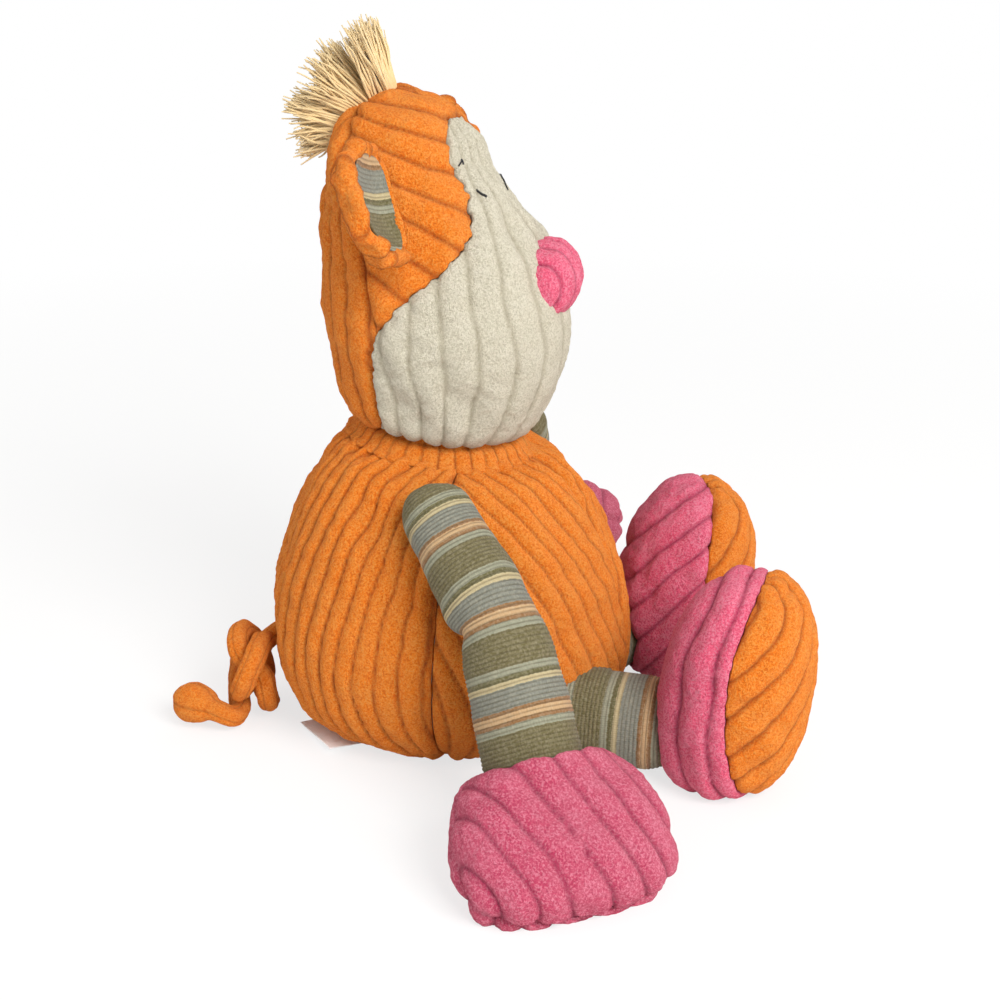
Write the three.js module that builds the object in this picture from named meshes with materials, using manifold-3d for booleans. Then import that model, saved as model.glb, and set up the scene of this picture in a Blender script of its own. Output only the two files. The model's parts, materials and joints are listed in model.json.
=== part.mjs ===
// A seated plush monkey of wide-wale plush corduroy with striped knit limbs.
// Millimetres, +Z up. It faces +X and its left side is +Y.
// The origin is the middle of the flat underside that it sits on.
// Every sewn piece is its own closed solid: the skins of the body and head are
// separate panels round their stuffing, and each limb ends in a ball that turns
// in the hollow of the piece it is sewn to.
import * as THREE from 'three';
import { mergeVertices } from 'three/addons/utils/BufferGeometryUtils.js';
import Module from 'manifold-3d';

const wasm = await Module();
wasm.setup();

// Fabric and fits
const SKIN = 2.6;
const SEAM_GAP = 0.3;
const FIT_GAP = 0.35;

// Body: a pear, given by its depth from back to belly at six heights
const BODY_HEIGHT = 134;
const BODY_DEPTH = 156;
const BODY_WIDTH = 146;
const BELLY_HEIGHT = 44;
const SEAT_DEPTH = 102;
const HEM_DEPTH = 142;
const HEM_HEIGHT = 13;
const CHEST_DEPTH = 132;
const CHEST_HEIGHT = 88;
const SHOULDER_DEPTH = 97;
const SHOULDER_HEIGHT = 118;
const BODY_TOP_DEPTH = 60;
const NECK_SETBACK = 6;
const SEAT_PANEL_DIAMETER = 98;
const SIDE_SEAM_FORWARD = 12;
const PELLET_BAG_DIAMETER = 70;
const PELLET_BAG_HEIGHT = 26;

// Neck: a stuffed ball between body and head, tipped forward
const NECK_BALL_DIAMETER = 64;
const NECK_SINK = 4;
const NECK_TILT = 8;
const NOD_DOWN = 6;
const NOD_UP = 8;
const NOD_SPARE = 1;

// Head: its back, its front and its half width at heights above the neck
const HEAD_HEIGHT = 138;
const CHIN_DROP = 9;
const JAW_HEIGHT = 10;
const JAW_BACK = 37;
const JAW_FRONT = 43;
const JAW_HALF_WIDTH = 38;
const MUZZLE_HEIGHT = 42;
const MUZZLE_BACK = 43;
const MUZZLE_FRONT = 53;
const MUZZLE_HALF_WIDTH = 48;
const NOSE_LEVEL = 74;
const NOSE_LEVEL_BACK = 45;
const NOSE_LEVEL_FRONT = 46;
const NOSE_LEVEL_HALF_WIDTH = 47;
const BROW_HEIGHT = 106;
const BROW_BACK = 43;
const BROW_FRONT = 23;
const BROW_HALF_WIDTH = 42;
const FOREHEAD_HEIGHT = 128;
const FOREHEAD_BACK = 36;
const FOREHEAD_FRONT = 10;
const FOREHEAD_HALF_WIDTH = 29;
const BACK_SEAM_SET = 16;
const BACK_SEAM_LEAN = 12;
const FACE_TOP = 5;
const CHEEK_LOBE = 23;
const CHEEK_LOBE_HEIGHT = 88;
const JOWL_BACK = 15;
const FACE_LEAN = 3;
const FACE_CURVE_RISE = 6;
const FACE_CURVE_DROP = 10;
const CHEEK_PINCH_BACK = 4;
const CHEEK_PINCH_DROP = 28;
const JOWL_CURVE = 1;
const JOWL_CURVE_DROP = 3;

// Nose, eyes and hair
const NOSE_HEIGHT = 66;
const NOSE_TALL = 31;
const NOSE_WIDE = 37;
const NOSE_DEEP = 26;
const NOSE_SINK = 2;
const EYE_HEIGHT = 102;
const EYE_SPACING = 30;
const EYE_TALL = 7;
const EYE_WIDE = 2.6;
const EYE_RAISE = 0.9;
const LOCK_COUNT = 9;
const LOCK_LENGTH = 31;
const LOCK_DIAMETER = 9.5;
const LOCK_TIP_DIAMETER = 2.6;
const TUFT_LENGTH = 34;
const TUFT_FAN_START = 104;
const TUFT_FAN_END = 150;

// Ears: cupped discs sewn on by one edge
const EAR_DIAMETER = 48;
const EAR_REACH = 33;
const EAR_CUP_DEPTH = 12;
const EAR_THICKNESS = 5;
const EAR_ROOT_DIAMETER = 6.4;
const EAR_ROOT_LENGTH = 34;
const EAR_HEIGHT = 101;
const EAR_FORWARD = -8;
const EAR_LEAN = 17;
const EAR_TILT = 22;
const EAR_LINING_THICKNESS = 2;
const EAR_ROOM = 1.4;
const EAR_ROOT_SET = 2;

// Arms: a knit tube with a bend at the elbow, and a plush mitt. Each length of
// it leans forward and outward from straight down by the angles given
const SHOULDER_FORWARD = 12;
const SHOULDER_PIVOT_HEIGHT = 112;
const SHOULDER_DIAMETER = 29;
const ELBOW_DIAMETER = 32;
const WRIST_DIAMETER = 39;
const ARM_SWELL = 1.2;
const UPPER_ARM_LENGTH = 50;
const FOREARM_LENGTH = 52;
const ELBOW_COLLAR = 12.5;
const MITT_LENGTH = 64;
const MITT_WIDTH = 80;
const MITT_THICKNESS = 40;
const MITT_CUFF_SET = 7;
const RIGHT_ARM = { upper: [46, 30], forearm: [24, 26], mitt: [39, 42] };
const LEFT_ARM = { upper: [-8, 32], forearm: [-8, 60], mitt: [-6, 62] };

// Legs: short knit tubes from the front of the seat, and tall plush feet. The
// left leg is pushed up short under the belly and turned out
const HIP_FORWARD = 48;
const HIP_SPACING = 68;
const HIP_BALL_DIAMETER = 44;
const LEG_DIAMETER = 39;
const HIP_TURN_IN = 6;
const HIP_TURN_OUT = 18;
const RIGHT_LEG_LENGTH = 44;
const RIGHT_LEG_TURN = 0;
const RIGHT_FOOT_TURN = -2;
const LEFT_LEG_LENGTH = 16;
const LEFT_LEG_TURN = 53;
const LEFT_FOOT_TURN = 25;
const FOOT_HEIGHT = 91;
const FOOT_WIDTH = 64;
const FOOT_THICKNESS = 60;
const FOOT_SET = 6;
const FOOT_LEAN = 7;
const SOLE_LEAN = -7;
const SOLE_THICKNESS = 24;
const SOLE_BULGE = 8;

// Tail: one stuffed tube with an overhand knot and a fat round end
const TAIL_DIAMETER = 9.4;
const TAIL_ROOT_DIAMETER = 15;
const TAIL_END_DIAMETER = 18;
const TAIL_END_LENGTH = 24;
const TAIL_HEIGHT = 27;
const KNOT_LOOSENESS = 1.12;
const KNOT_BEARING = 24;
const KNOT_OFF_BODY = 12.5;
const KNOT_LIFT = 1;

// Sewn label, left bare
const LABEL_LENGTH = 29;
const LABEL_WIDTH = 18;
const LABEL_THICKNESS = 0.8;
const LABEL_INSET = 6;
const LABEL_TILT = 5;
const LABEL_BEARING = 226;

const BODY_SIDES = 20;
const HEAD_SIDES = 20;
const LIMB_SIDES = 12;
const BALL_SIDES = 16;
const FOOT_SIDES = 16;

const deg = THREE.MathUtils.degToRad;
const V = (x, y, z) => new THREE.Vector3(x, y, z);
const far = 2 * BODY_DEPTH;
const halfSeam = SEAM_GAP / 2;

// Closed solids, and their joining and cutting
function solid(geometry) {
  geometry.deleteAttribute('normal');
  geometry.deleteAttribute('uv');
  const merged = mergeVertices(geometry, 1e-4);
  return new wasm.Manifold(new wasm.Mesh({
    numProp: 3,
    vertProperties: new Float32Array(merged.attributes.position.array),
    triVerts: new Uint32Array(merged.index.array),
  }));
}

function geometryOf(shape) {
  const mesh = shape.getMesh();
  const geometry = new THREE.BufferGeometry();
  geometry.setAttribute('position', new THREE.BufferAttribute(new Float32Array(mesh.vertProperties), 3));
  geometry.setIndex(new THREE.BufferAttribute(new Uint32Array(mesh.triVerts), 1));
  const faceted = geometry.toNonIndexed();
  faceted.computeVertexNormals();
  return faceted;
}

// Moves a geometry by a matrix, and keeps its faces outward if that mirrors it
function placed(geometry, matrix) {
  const moved = geometry.clone().applyMatrix4(matrix);
  if (matrix.determinant() < 0) {
    const index = moved.index.array;
    for (let i = 0; i < index.length; i += 3) [index[i + 1], index[i + 2]] = [index[i + 2], index[i + 1]];
  }
  return moved;
}

const bandsOf = (sides) => 2 * Math.round(sides / 4);

function ball(centre, radius, sides = BALL_SIDES) {
  const sphere = new THREE.SphereGeometry(radius, sides, bandsOf(sides));
  return solid(sphere.translate(centre.x, centre.y, centre.z));
}

// The hollow that a ball turns in: its flats come no nearer the centre than its
// radius, and they face the corners of the ball inside
function roomyBall(centre, radius, sides = BALL_SIDES) {
  const bands = bandsOf(sides) - 1;
  const corner = radius / (Math.cos(Math.PI / sides) * Math.cos(Math.PI / (2 * bands)));
  const sphere = new THREE.SphereGeometry(corner, sides, bands, Math.PI / sides);
  return solid(sphere.translate(centre.x, centre.y, centre.z));
}

function block(xMin, xMax, yMin, yMax, zMin, zMax) {
  const box = new THREE.BoxGeometry(xMax - xMin, yMax - yMin, zMax - zMin);
  return solid(box.translate((xMin + xMax) / 2, (yMin + yMax) / 2, (zMin + zMax) / 2));
}

const aboveFloor = block(-far, far, -far, far, 0, 2 * far);

// Everything behind a plane, given by a point on it and the way it faces
function behindPlane(point, facing) {
  const box = new THREE.BoxGeometry(far, far, far).translate(0, 0, -far / 2);
  const turn = new THREE.Quaternion().setFromUnitVectors(V(0, 0, 1), facing.clone().normalize());
  return solid(box.applyQuaternion(turn).translate(point.x, point.y, point.z));
}

// A closed form through rings. Each ring has a centre and two half-axis vectors,
// u across v pointing on to the next ring, and flat fans close both ends
function ringGeometry(rings, sides) {
  const points = [rings[0].at];
  rings.forEach(({ at, u, v }) => {
    for (let i = 0; i < sides; i += 1) {
      const angle = (2 * Math.PI * i) / sides;
      points.push(at.clone().addScaledVector(u, Math.cos(angle)).addScaledVector(v, Math.sin(angle)));
    }
  });
  points.push(rings[rings.length - 1].at);
  const last = points.length - 1;
  const faces = [];
  for (let i = 0; i < sides; i += 1) {
    const next = (i + 1) % sides;
    faces.push(0, 1 + next, 1 + i);
    for (let r = 0; r < rings.length - 1; r += 1) {
      const low = 1 + r * sides;
      const high = low + sides;
      faces.push(low + i, low + next, high + next, low + i, high + next, high + i);
    }
    faces.push(last, last - sides + i, last - sides + next);
  }
  const geometry = new THREE.BufferGeometry().setFromPoints(points);
  geometry.setIndex(faces);
  return geometry;
}

const ringForm = (rings, sides) => solid(ringGeometry(rings, sides));

// The value of a smooth column of [height, value] pairs at one height
function columnAt(column, height) {
  const above = column.findIndex((point) => point.x >= height);
  if (above < 0) return column[column.length - 1].y;
  if (above === 0) return column[0].y;
  const low = column[above - 1];
  const high = column[above];
  return low.y + ((high.y - low.y) * (height - low.x)) / (high.x - low.x);
}

const column = (pairs, steps) => new THREE.SplineCurve(
  pairs.map(([height, value]) => new THREE.Vector2(height, value)),
).getPoints(steps);

// The pear. Inset draws its surface in by that distance on every side
const bodyOutline = column([
  [0, SEAT_DEPTH / 2],
  [HEM_HEIGHT, HEM_DEPTH / 2],
  [BELLY_HEIGHT, BODY_DEPTH / 2],
  [CHEST_HEIGHT, CHEST_DEPTH / 2],
  [SHOULDER_HEIGHT, SHOULDER_DEPTH / 2],
  [BODY_HEIGHT, BODY_TOP_DEPTH / 2],
], 10);
const widthShare = BODY_WIDTH / BODY_DEPTH;
const bodyHalfWidth = (height) => columnAt(bodyOutline, height) * widthShare;
const setbackAt = (height) => -NECK_SETBACK * (height / BODY_HEIGHT) ** 2;

function bodyGeometry(inset, sides) {
  return ringGeometry(bodyOutline.map(({ x: height, y: half }) => {
    const z = inset + (height * (BODY_HEIGHT - inset)) / BODY_HEIGHT;
    return { at: V(setbackAt(z), 0, z), u: V(half - inset, 0, 0), v: V(0, half * widthShare - inset, 0) };
  }), sides);
}

const bodyForm = (inset, sides = BODY_SIDES) => solid(bodyGeometry(inset, sides));

// The neck ball, and two shallow cones round it that keep body and head apart
const neckHeight = BODY_HEIGHT - NECK_SINK;
const neck = V(setbackAt(neckHeight), 0, neckHeight);
const neckRadius = NECK_BALL_DIAMETER / 2;
const neckBall = ball(neck, neckRadius, 18);
const neckCup = roomyBall(neck, neckRadius + FIT_GAP, 18);
const headConeRise = NOD_DOWN / 2;
const bodyConeFall = NOD_UP + NOD_SPARE;

function coneFill(apexHeight, rise, endHeight) {
  const rim = apexHeight + far * Math.tan(deg(rise));
  const profile = [
    new THREE.Vector2(0, Math.min(apexHeight, endHeight)),
    new THREE.Vector2(far, Math.min(rim, endHeight)),
    new THREE.Vector2(far, Math.max(rim, endHeight)),
    new THREE.Vector2(0, Math.max(apexHeight, endHeight)),
  ];
  const cone = new THREE.LatheGeometry(profile, 24).rotateX(Math.PI / 2);
  return solid(cone.rotateY(deg(NECK_TILT)).translate(neck.x, neck.y, neck.z));
}

const underHead = (lift) => coneFill(lift, headConeRise, -far);
const overBody = (drop) => coneFill(-drop, -bodyConeFall, far);

// Torso: hips are hollows at its lower front, and the tail has one at the back
const hipRadius = HIP_BALL_DIAMETER / 2;
const legRadius = LEG_DIAMETER / 2;
const hipAt = (side) => V(HIP_FORWARD, (side * HIP_SPACING) / 2, legRadius + 1);
const tailRootRadius = TAIL_ROOT_DIAMETER / 2;
const tailRoot = V(setbackAt(TAIL_HEIGHT) - columnAt(bodyOutline, TAIL_HEIGHT) + 2, 0, TAIL_HEIGHT);

const bodyOuter = bodyForm(0).subtract(overBody(0));
const bodyInner = bodyForm(SKIN).subtract(overBody(SKIN));
const bodySkin = bodyOuter.subtract(bodyInner)
  .subtract(neckCup)
  .subtract(roomyBall(hipAt(-1), hipRadius + FIT_GAP))
  .subtract(roomyBall(hipAt(1), hipRadius + FIT_GAP))
  .subtract(roomyBall(tailRoot, tailRootRadius + FIT_GAP, 12));

function uprightDisc(radius, height) {
  return solid(new THREE.CylinderGeometry(radius, radius, 2 * height, 32).rotateX(Math.PI / 2));
}

const seatPanel = bodySkin.intersect(uprightDisc(SEAT_PANEL_DIAMETER / 2, HEM_HEIGHT));
const sideSkin = bodySkin.subtract(uprightDisc(SEAT_PANEL_DIAMETER / 2 + SEAM_GAP, HEM_HEIGHT));
const behindSeam = (yMin, yMax) => block(-far, SIDE_SEAM_FORWARD - halfSeam, yMin, yMax, -far, far);
const aheadOfSeam = (yMin, yMax) => block(SIDE_SEAM_FORWARD + halfSeam, far, yMin, yMax, -far, far);
const backPanelRight = sideSkin.intersect(behindSeam(-far, -halfSeam));
const backPanelLeft = sideSkin.intersect(behindSeam(halfSeam, far));
const bellyPanelRight = sideSkin.intersect(aheadOfSeam(-far, -halfSeam));
const bellyPanelLeft = sideSkin.intersect(aheadOfSeam(halfSeam, far));

// The bag of pellets lies in a pocket in the underside of the stuffing
function pelletForm(clearance) {
  const radius = PELLET_BAG_DIAMETER / 2 + clearance;
  const floor = SKIN + SEAM_GAP;
  const profile = [[0, 0], [0.86, 0], [1, 0.3], [0.94, 0.72], [0.62, 1], [0, 1]]
    .map(([r, h]) => new THREE.Vector2(r * radius, floor + h * (PELLET_BAG_HEIGHT + clearance)));
  return solid(new THREE.LatheGeometry(profile, 16).rotateX(Math.PI / 2));
}

const pelletBag = pelletForm(0);
const bodyStuffing = bodyForm(SKIN + SEAM_GAP, BODY_SIDES / 2)
  .subtract(overBody(SKIN + SEAM_GAP))
  .subtract(roomyBall(neck, neckRadius + FIT_GAP, 12))
  .subtract(roomyBall(hipAt(-1), hipRadius + FIT_GAP, 12))
  .subtract(roomyBall(hipAt(1), hipRadius + FIT_GAP, 12))
  .subtract(roomyBall(tailRoot, tailRootRadius + FIT_GAP, 10))
  .subtract(pelletForm(SEAM_GAP))
  .subtract(uprightDisc(0.42 * PELLET_BAG_DIAMETER, SKIN + 1));

// Head: rings between its back and its front, above the neck's centre
const headLevels = [
  [-CHIN_DROP, JAW_BACK * 0.6, JAW_FRONT * 0.6, JAW_HALF_WIDTH * 0.6],
  [JAW_HEIGHT, JAW_BACK, JAW_FRONT, JAW_HALF_WIDTH],
  [MUZZLE_HEIGHT, MUZZLE_BACK, MUZZLE_FRONT, MUZZLE_HALF_WIDTH],
  [NOSE_LEVEL, NOSE_LEVEL_BACK, NOSE_LEVEL_FRONT, NOSE_LEVEL_HALF_WIDTH],
  [BROW_HEIGHT, BROW_BACK, BROW_FRONT, BROW_HALF_WIDTH],
  [FOREHEAD_HEIGHT, FOREHEAD_BACK, FOREHEAD_FRONT, FOREHEAD_HALF_WIDTH],
  [HEAD_HEIGHT, FOREHEAD_BACK * 0.6, -FOREHEAD_FRONT * 0.6, FOREHEAD_HALF_WIDTH * 0.35],
];
const headColumn = (which) => column(headLevels.map((level) => [level[0], level[which]]), 12);
const headBack = headColumn(1);
const headFront = headColumn(2);
const headHalfWidth = headColumn(3);

function headForm(inset, sides = HEAD_SIDES) {
  const middle = (HEAD_HEIGHT - CHIN_DROP) / 2;
  const squeeze = 1 - (2 * inset) / (HEAD_HEIGHT + CHIN_DROP);
  return ringForm(headBack.map(({ x: height, y: back }, i) => {
    const front = headFront[i].y;
    return {
      at: V(neck.x + (front - back) / 2, 0, neck.z + middle + (height - middle) * squeeze),
      u: V(Math.max((front + back) / 2 - inset, 1), 0, 0),
      v: V(0, Math.max(headHalfWidth[i].y - inset, 1), 0),
    };
  }), sides);
}

const headOuter = headForm(0).subtract(underHead(0));
const headInner = headForm(SKIN).subtract(underHead(SKIN));
const headSkin = headOuter.subtract(headInner).subtract(neckCup);
const headStuffing = headForm(SKIN + SEAM_GAP, HEAD_SIDES / 2)
  .subtract(underHead(SKIN + SEAM_GAP))
  .subtract(roomyBall(neck, neckRadius + FIT_GAP, 12));
const headClear = headForm(-FIT_GAP);

// The cream face, cut out by its border as seen from the side: forward at the
// brow, pinched by the cheek lobe, then well back along the jowl
function faceCutter(shift) {
  const top = HEAD_HEIGHT + FOREHEAD_HALF_WIDTH;
  const bottom = -CHIN_DROP - FOREHEAD_HALF_WIDTH;
  const border = new THREE.SplineCurve([
    new THREE.Vector2(FACE_TOP, top),
    new THREE.Vector2(FACE_TOP + FACE_LEAN, FOREHEAD_HEIGHT + FACE_CURVE_RISE),
    new THREE.Vector2(FACE_TOP + 2 * FACE_LEAN, FOREHEAD_HEIGHT - FACE_CURVE_DROP),
    new THREE.Vector2(CHEEK_LOBE, CHEEK_LOBE_HEIGHT),
    new THREE.Vector2(-CHEEK_PINCH_BACK, CHEEK_LOBE_HEIGHT - CHEEK_PINCH_DROP),
    new THREE.Vector2(JOWL_CURVE - JOWL_BACK, MUZZLE_HEIGHT - JOWL_CURVE_DROP),
    new THREE.Vector2(-JOWL_BACK, bottom),
  ]).getPoints(15).map((point) => new THREE.Vector2(point.x + shift, point.y));
  const ahead = 2 * MUZZLE_FRONT;
  const shape = new THREE.Shape([...border, new THREE.Vector2(ahead, bottom), new THREE.Vector2(ahead, top)]);
  const prism = new THREE.ExtrudeGeometry(shape, { depth: 4 * MUZZLE_HALF_WIDTH, bevelEnabled: false });
  prism.translate(0, 0, -2 * MUZZLE_HALF_WIDTH).rotateX(Math.PI / 2);
  return solid(prism.translate(neck.x, 0, neck.z));
}

const facePanel = headSkin.intersect(faceCutter(0));
const hoodSkin = headSkin.subtract(faceCutter(-1.6 * SEAM_GAP));

// The seam from the hair down behind the ears leans forward as it falls
function behindBackSeam(shift) {
  const box = new THREE.BoxGeometry(far, far, 2 * far).translate(shift - far / 2, 0, 0);
  return solid(box.rotateY(deg(-BACK_SEAM_LEAN)).translate(neck.x - BACK_SEAM_SET, 0, neck.z + NOSE_LEVEL));
}

const headBackPanel = hoodSkin.intersect(behindBackSeam(0));
const crownSkin = hoodSkin.subtract(behindBackSeam(SEAM_GAP));
const crownPanelRight = crownSkin.intersect(block(-far, far, -far, -halfSeam, -far, far));
const crownPanelLeft = crownSkin.intersect(block(-far, far, halfSeam, far, -far, far));

// Nose: a stuffed plush ball seated on the face
const noseBall = new THREE.SphereGeometry(0.5, 14, 10).scale(NOSE_DEEP, NOSE_WIDE, NOSE_TALL);
noseBall.translate(neck.x + columnAt(headFront, NOSE_HEIGHT) - NOSE_SINK, 0, neck.z + NOSE_HEIGHT);
const nose = solid(noseBall).subtract(headClear);

// Eyes: narrow raised pads of satin stitch that follow the face
function eyeForm(side) {
  const strip = new THREE.CylinderGeometry(0.5, 0.5, far, 10).rotateZ(Math.PI / 2);
  strip.scale(1, EYE_WIDE, EYE_TALL).translate(far / 2, (side * EYE_SPACING) / 2, neck.z + EYE_HEIGHT);
  return headForm(-FIT_GAP - EYE_RAISE).subtract(headClear).intersect(solid(strip));
}

// Hair: tapered locks of yarn fanned along the top of the back seam
function lockForm(root, direction, length) {
  const side = V(0, 1, 0).cross(direction).normalize();
  const across = direction.clone().cross(side).normalize();
  const tip = LOCK_TIP_DIAMETER / LOCK_DIAMETER;
  return ringForm([[0, 0.8], [0.3, 1], [0.75, 0.75], [1, tip]].map(([along, share]) => ({
    at: root.clone().addScaledVector(direction, along * length),
    u: side.clone().multiplyScalar((share * LOCK_DIAMETER) / 2),
    v: across.clone().multiplyScalar((share * LOCK_DIAMETER) / 2),
  })), 5);
}

function tuftForm() {
  const base = new THREE.QuadraticBezierCurve3(
    V(neck.x - FOREHEAD_BACK / 2, 0, neck.z + HEAD_HEIGHT),
    V(neck.x - FOREHEAD_BACK, 0, neck.z + HEAD_HEIGHT - 2),
    V(neck.x - FOREHEAD_BACK - 4, 0, neck.z + HEAD_HEIGHT - 0.6 * TUFT_LENGTH),
  );
  const locks = Array.from({ length: LOCK_COUNT }, (_, i) => {
    const share = i / (LOCK_COUNT - 1);
    const lean = deg(TUFT_FAN_START + (TUFT_FAN_END - TUFT_FAN_START) * share);
    const sideways = deg(i % 2 === 0 ? 13 : -13);
    const out = V(Math.cos(lean) * Math.cos(sideways), Math.sin(sideways), Math.sin(lean) * Math.cos(sideways));
    return lockForm(base.getPoint(share), out, LOCK_LENGTH * (1 - 0.12 * Math.abs(Math.sin(5 * i))));
  });
  return locks.reduce((tuft, lock) => tuft.add(lock)).subtract(headClear);
}

// Ears: built for the right side on a hinge along the head, then placed
function earFrame(side) {
  const root = BROW_HALF_WIDTH + EAR_ROOT_DIAMETER / 2 + EAR_ROOT_SET;
  return new THREE.Matrix4()
    .makeTranslation(neck.x + EAR_FORWARD, side * root, neck.z + EAR_HEIGHT)
    .multiply(new THREE.Matrix4().makeScale(1, -side, 1))
    .multiply(new THREE.Matrix4().makeRotationY(deg(-EAR_TILT)))
    .multiply(new THREE.Matrix4().makeRotationX(deg(-EAR_LEAN)));
}

function earTurning(profile) {
  const turned = new THREE.LatheGeometry(profile.map(([r, x]) => new THREE.Vector2(r, x)), 18);
  return turned.rotateZ(-Math.PI / 2).translate(0, EAR_DIAMETER / 2 - EAR_REACH, 0);
}

const earRoot = (spare) => new THREE.CapsuleGeometry(
  EAR_ROOT_DIAMETER / 2 + spare, EAR_ROOT_LENGTH, 3, 10,
).rotateX(Math.PI / 2);

function earPieces(side) {
  const frame = earFrame(side);
  const place = (geometry) => solid(placed(geometry, frame));
  const rim = EAR_DIAMETER / 2;
  const cup = EAR_CUP_DEPTH;
  const bowl = place(earTurning([
    [0, -cup / 2],
    [0.72 * rim, -cup / 3],
    [rim, 0.1 * cup],
    [rim - 0.1 * EAR_THICKNESS, 0.4 * cup],
    [rim - 0.5 * EAR_THICKNESS, cup / 2],
    [rim - EAR_THICKNESS, 0.36 * cup],
    [0.62 * rim, EAR_THICKNESS - cup / 3],
    [0, EAR_THICKNESS - cup / 2],
  ]));
  const lining = place(earTurning([
    [0, EAR_THICKNESS - cup / 2 + SEAM_GAP],
    [0.6 * rim, EAR_THICKNESS - cup / 3 + 2 * SEAM_GAP],
    [0.68 * rim, EAR_THICKNESS - cup / 3 + EAR_LINING_THICKNESS],
    [0, EAR_THICKNESS - cup / 2 + SEAM_GAP + EAR_LINING_THICKNESS],
  ]));
  const outward = place(new THREE.BoxGeometry(far, far, far).translate(0, -far / 2, 0));
  return {
    back: bowl.intersect(outward).subtract(headForm(-FIT_GAP - EAR_ROOM))
      .add(place(earRoot(0)).subtract(headClear)),
    lining: lining.intersect(outward).subtract(place(earRoot(SEAM_GAP))).subtract(headClear),
  };
}

// A stuffed limb: a ball at its start, a swelling tube, and a ball or a flat end
function limbForm(start, end, startRadius, endRadius, swell, endBall) {
  const axis = end.clone().sub(start);
  const length = axis.length();
  axis.normalize();
  const u = V(0, 1, 0).cross(axis).normalize();
  const v = axis.clone().cross(u).normalize();
  const ring = (along, radius) => ({
    at: start.clone().addScaledVector(axis, along),
    u: u.clone().multiplyScalar(radius),
    v: v.clone().multiplyScalar(radius),
  });
  const latitudes = [78, 54, 27].map(deg);
  const rings = latitudes.map((angle) => ring(-startRadius * Math.sin(angle), startRadius * Math.cos(angle)));
  for (let i = 0; i <= 5; i += 1) {
    const share = i / 5;
    const straight = startRadius + (endRadius - startRadius) * share;
    rings.push(ring(share * length, straight + swell * Math.sin(Math.PI * share) ** 2));
  }
  if (endBall) {
    latitudes.reverse().forEach((angle) => {
      rings.push(ring(length + endRadius * Math.sin(angle), endRadius * Math.cos(angle)));
    });
  }
  return ringForm(rings, LIMB_SIDES);
}

const shoulderAt = (side) => V(
  SHOULDER_FORWARD,
  side * (bodyHalfWidth(SHOULDER_PIVOT_HEIGHT) + SHOULDER_DIAMETER / 3),
  SHOULDER_PIVOT_HEIGHT,
);

// How far out the faceted body reaches at a place along it and a height
function bodySideAt(x, height) {
  const half = columnAt(bodyOutline, height);
  const across = Math.min(Math.abs(x - setbackAt(height)) / half, 1);
  const step = (2 * Math.PI) / BODY_SIDES;
  const corner = Math.floor(Math.acos(across) / step) * step;
  const share = (Math.cos(corner) - across) / (Math.cos(corner) - Math.cos(corner + step));
  const side = Math.sin(corner) + (Math.sin(corner + step) - Math.sin(corner)) * share;
  return half * widthShare * side;
}

// The widest that the body gets at each distance from the shoulder, turned
// about the shoulder's axis: what it trims clears the body at every swing
function shoulderDome(side) {
  const reach = SHOULDER_PIVOT_HEIGHT - BELLY_HEIGHT;
  const widths = [1, 0.8, 0.6, 0.45, 0.33, 0.27, 0.21, 0.1, 0].map((share) => {
    const directions = Array.from({ length: 24 }, (_, i) => (2 * Math.PI * i) / 24);
    const sides = directions.map((angle) => bodySideAt(
      SHOULDER_FORWARD + share * reach * Math.cos(angle),
      Math.min(SHOULDER_PIVOT_HEIGHT + share * reach * Math.sin(angle), BODY_HEIGHT),
    ));
    return new THREE.Vector2(share * reach, Math.max(...sides) + FIT_GAP);
  });
  const dome = new THREE.LatheGeometry([
    new THREE.Vector2(0, 0),
    new THREE.Vector2(far, 0),
    new THREE.Vector2(far, widths[0].y),
    ...widths,
  ], 24);
  if (side < 0) dome.rotateX(Math.PI);
  return solid(dome.translate(SHOULDER_FORWARD, 0, SHOULDER_PIVOT_HEIGHT));
}

// The way along an arm piece: down, leaning forward and out by two angles
const hanging = ([forward, out], side) => V(
  Math.sin(deg(forward)) * Math.cos(deg(out)),
  side * Math.sin(deg(out)),
  -Math.cos(deg(forward)) * Math.cos(deg(out)),
);

// The mitt: a thick flat pad, broadest past its middle
function mittForm(wrist, way) {
  const thickWay = V(0, 0, 1).addScaledVector(way, -way.z).normalize();
  const across = thickWay.clone().cross(way).normalize();
  const cuff = WRIST_DIAMETER / 2 + SKIN;
  const halfWidth = MITT_WIDTH / 2;
  const halfThick = MITT_THICKNESS / 2;
  return ringForm([
    [0, cuff, cuff],
    [0.2, 0.78 * halfWidth, halfThick],
    [0.45, 0.97 * halfWidth, halfThick],
    [0.68, halfWidth, 0.98 * halfThick],
    [0.86, 0.86 * halfWidth, 0.86 * halfThick],
    [0.96, 0.6 * halfWidth, 0.62 * halfThick],
    [1, 0.35 * halfWidth, 0.36 * halfThick],
  ].map(([along, half, thick]) => ({
    at: wrist.clone().addScaledVector(way, along * MITT_LENGTH),
    u: across.clone().multiplyScalar(half),
    v: thickWay.clone().multiplyScalar(thick),
  })), 16);
}

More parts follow.
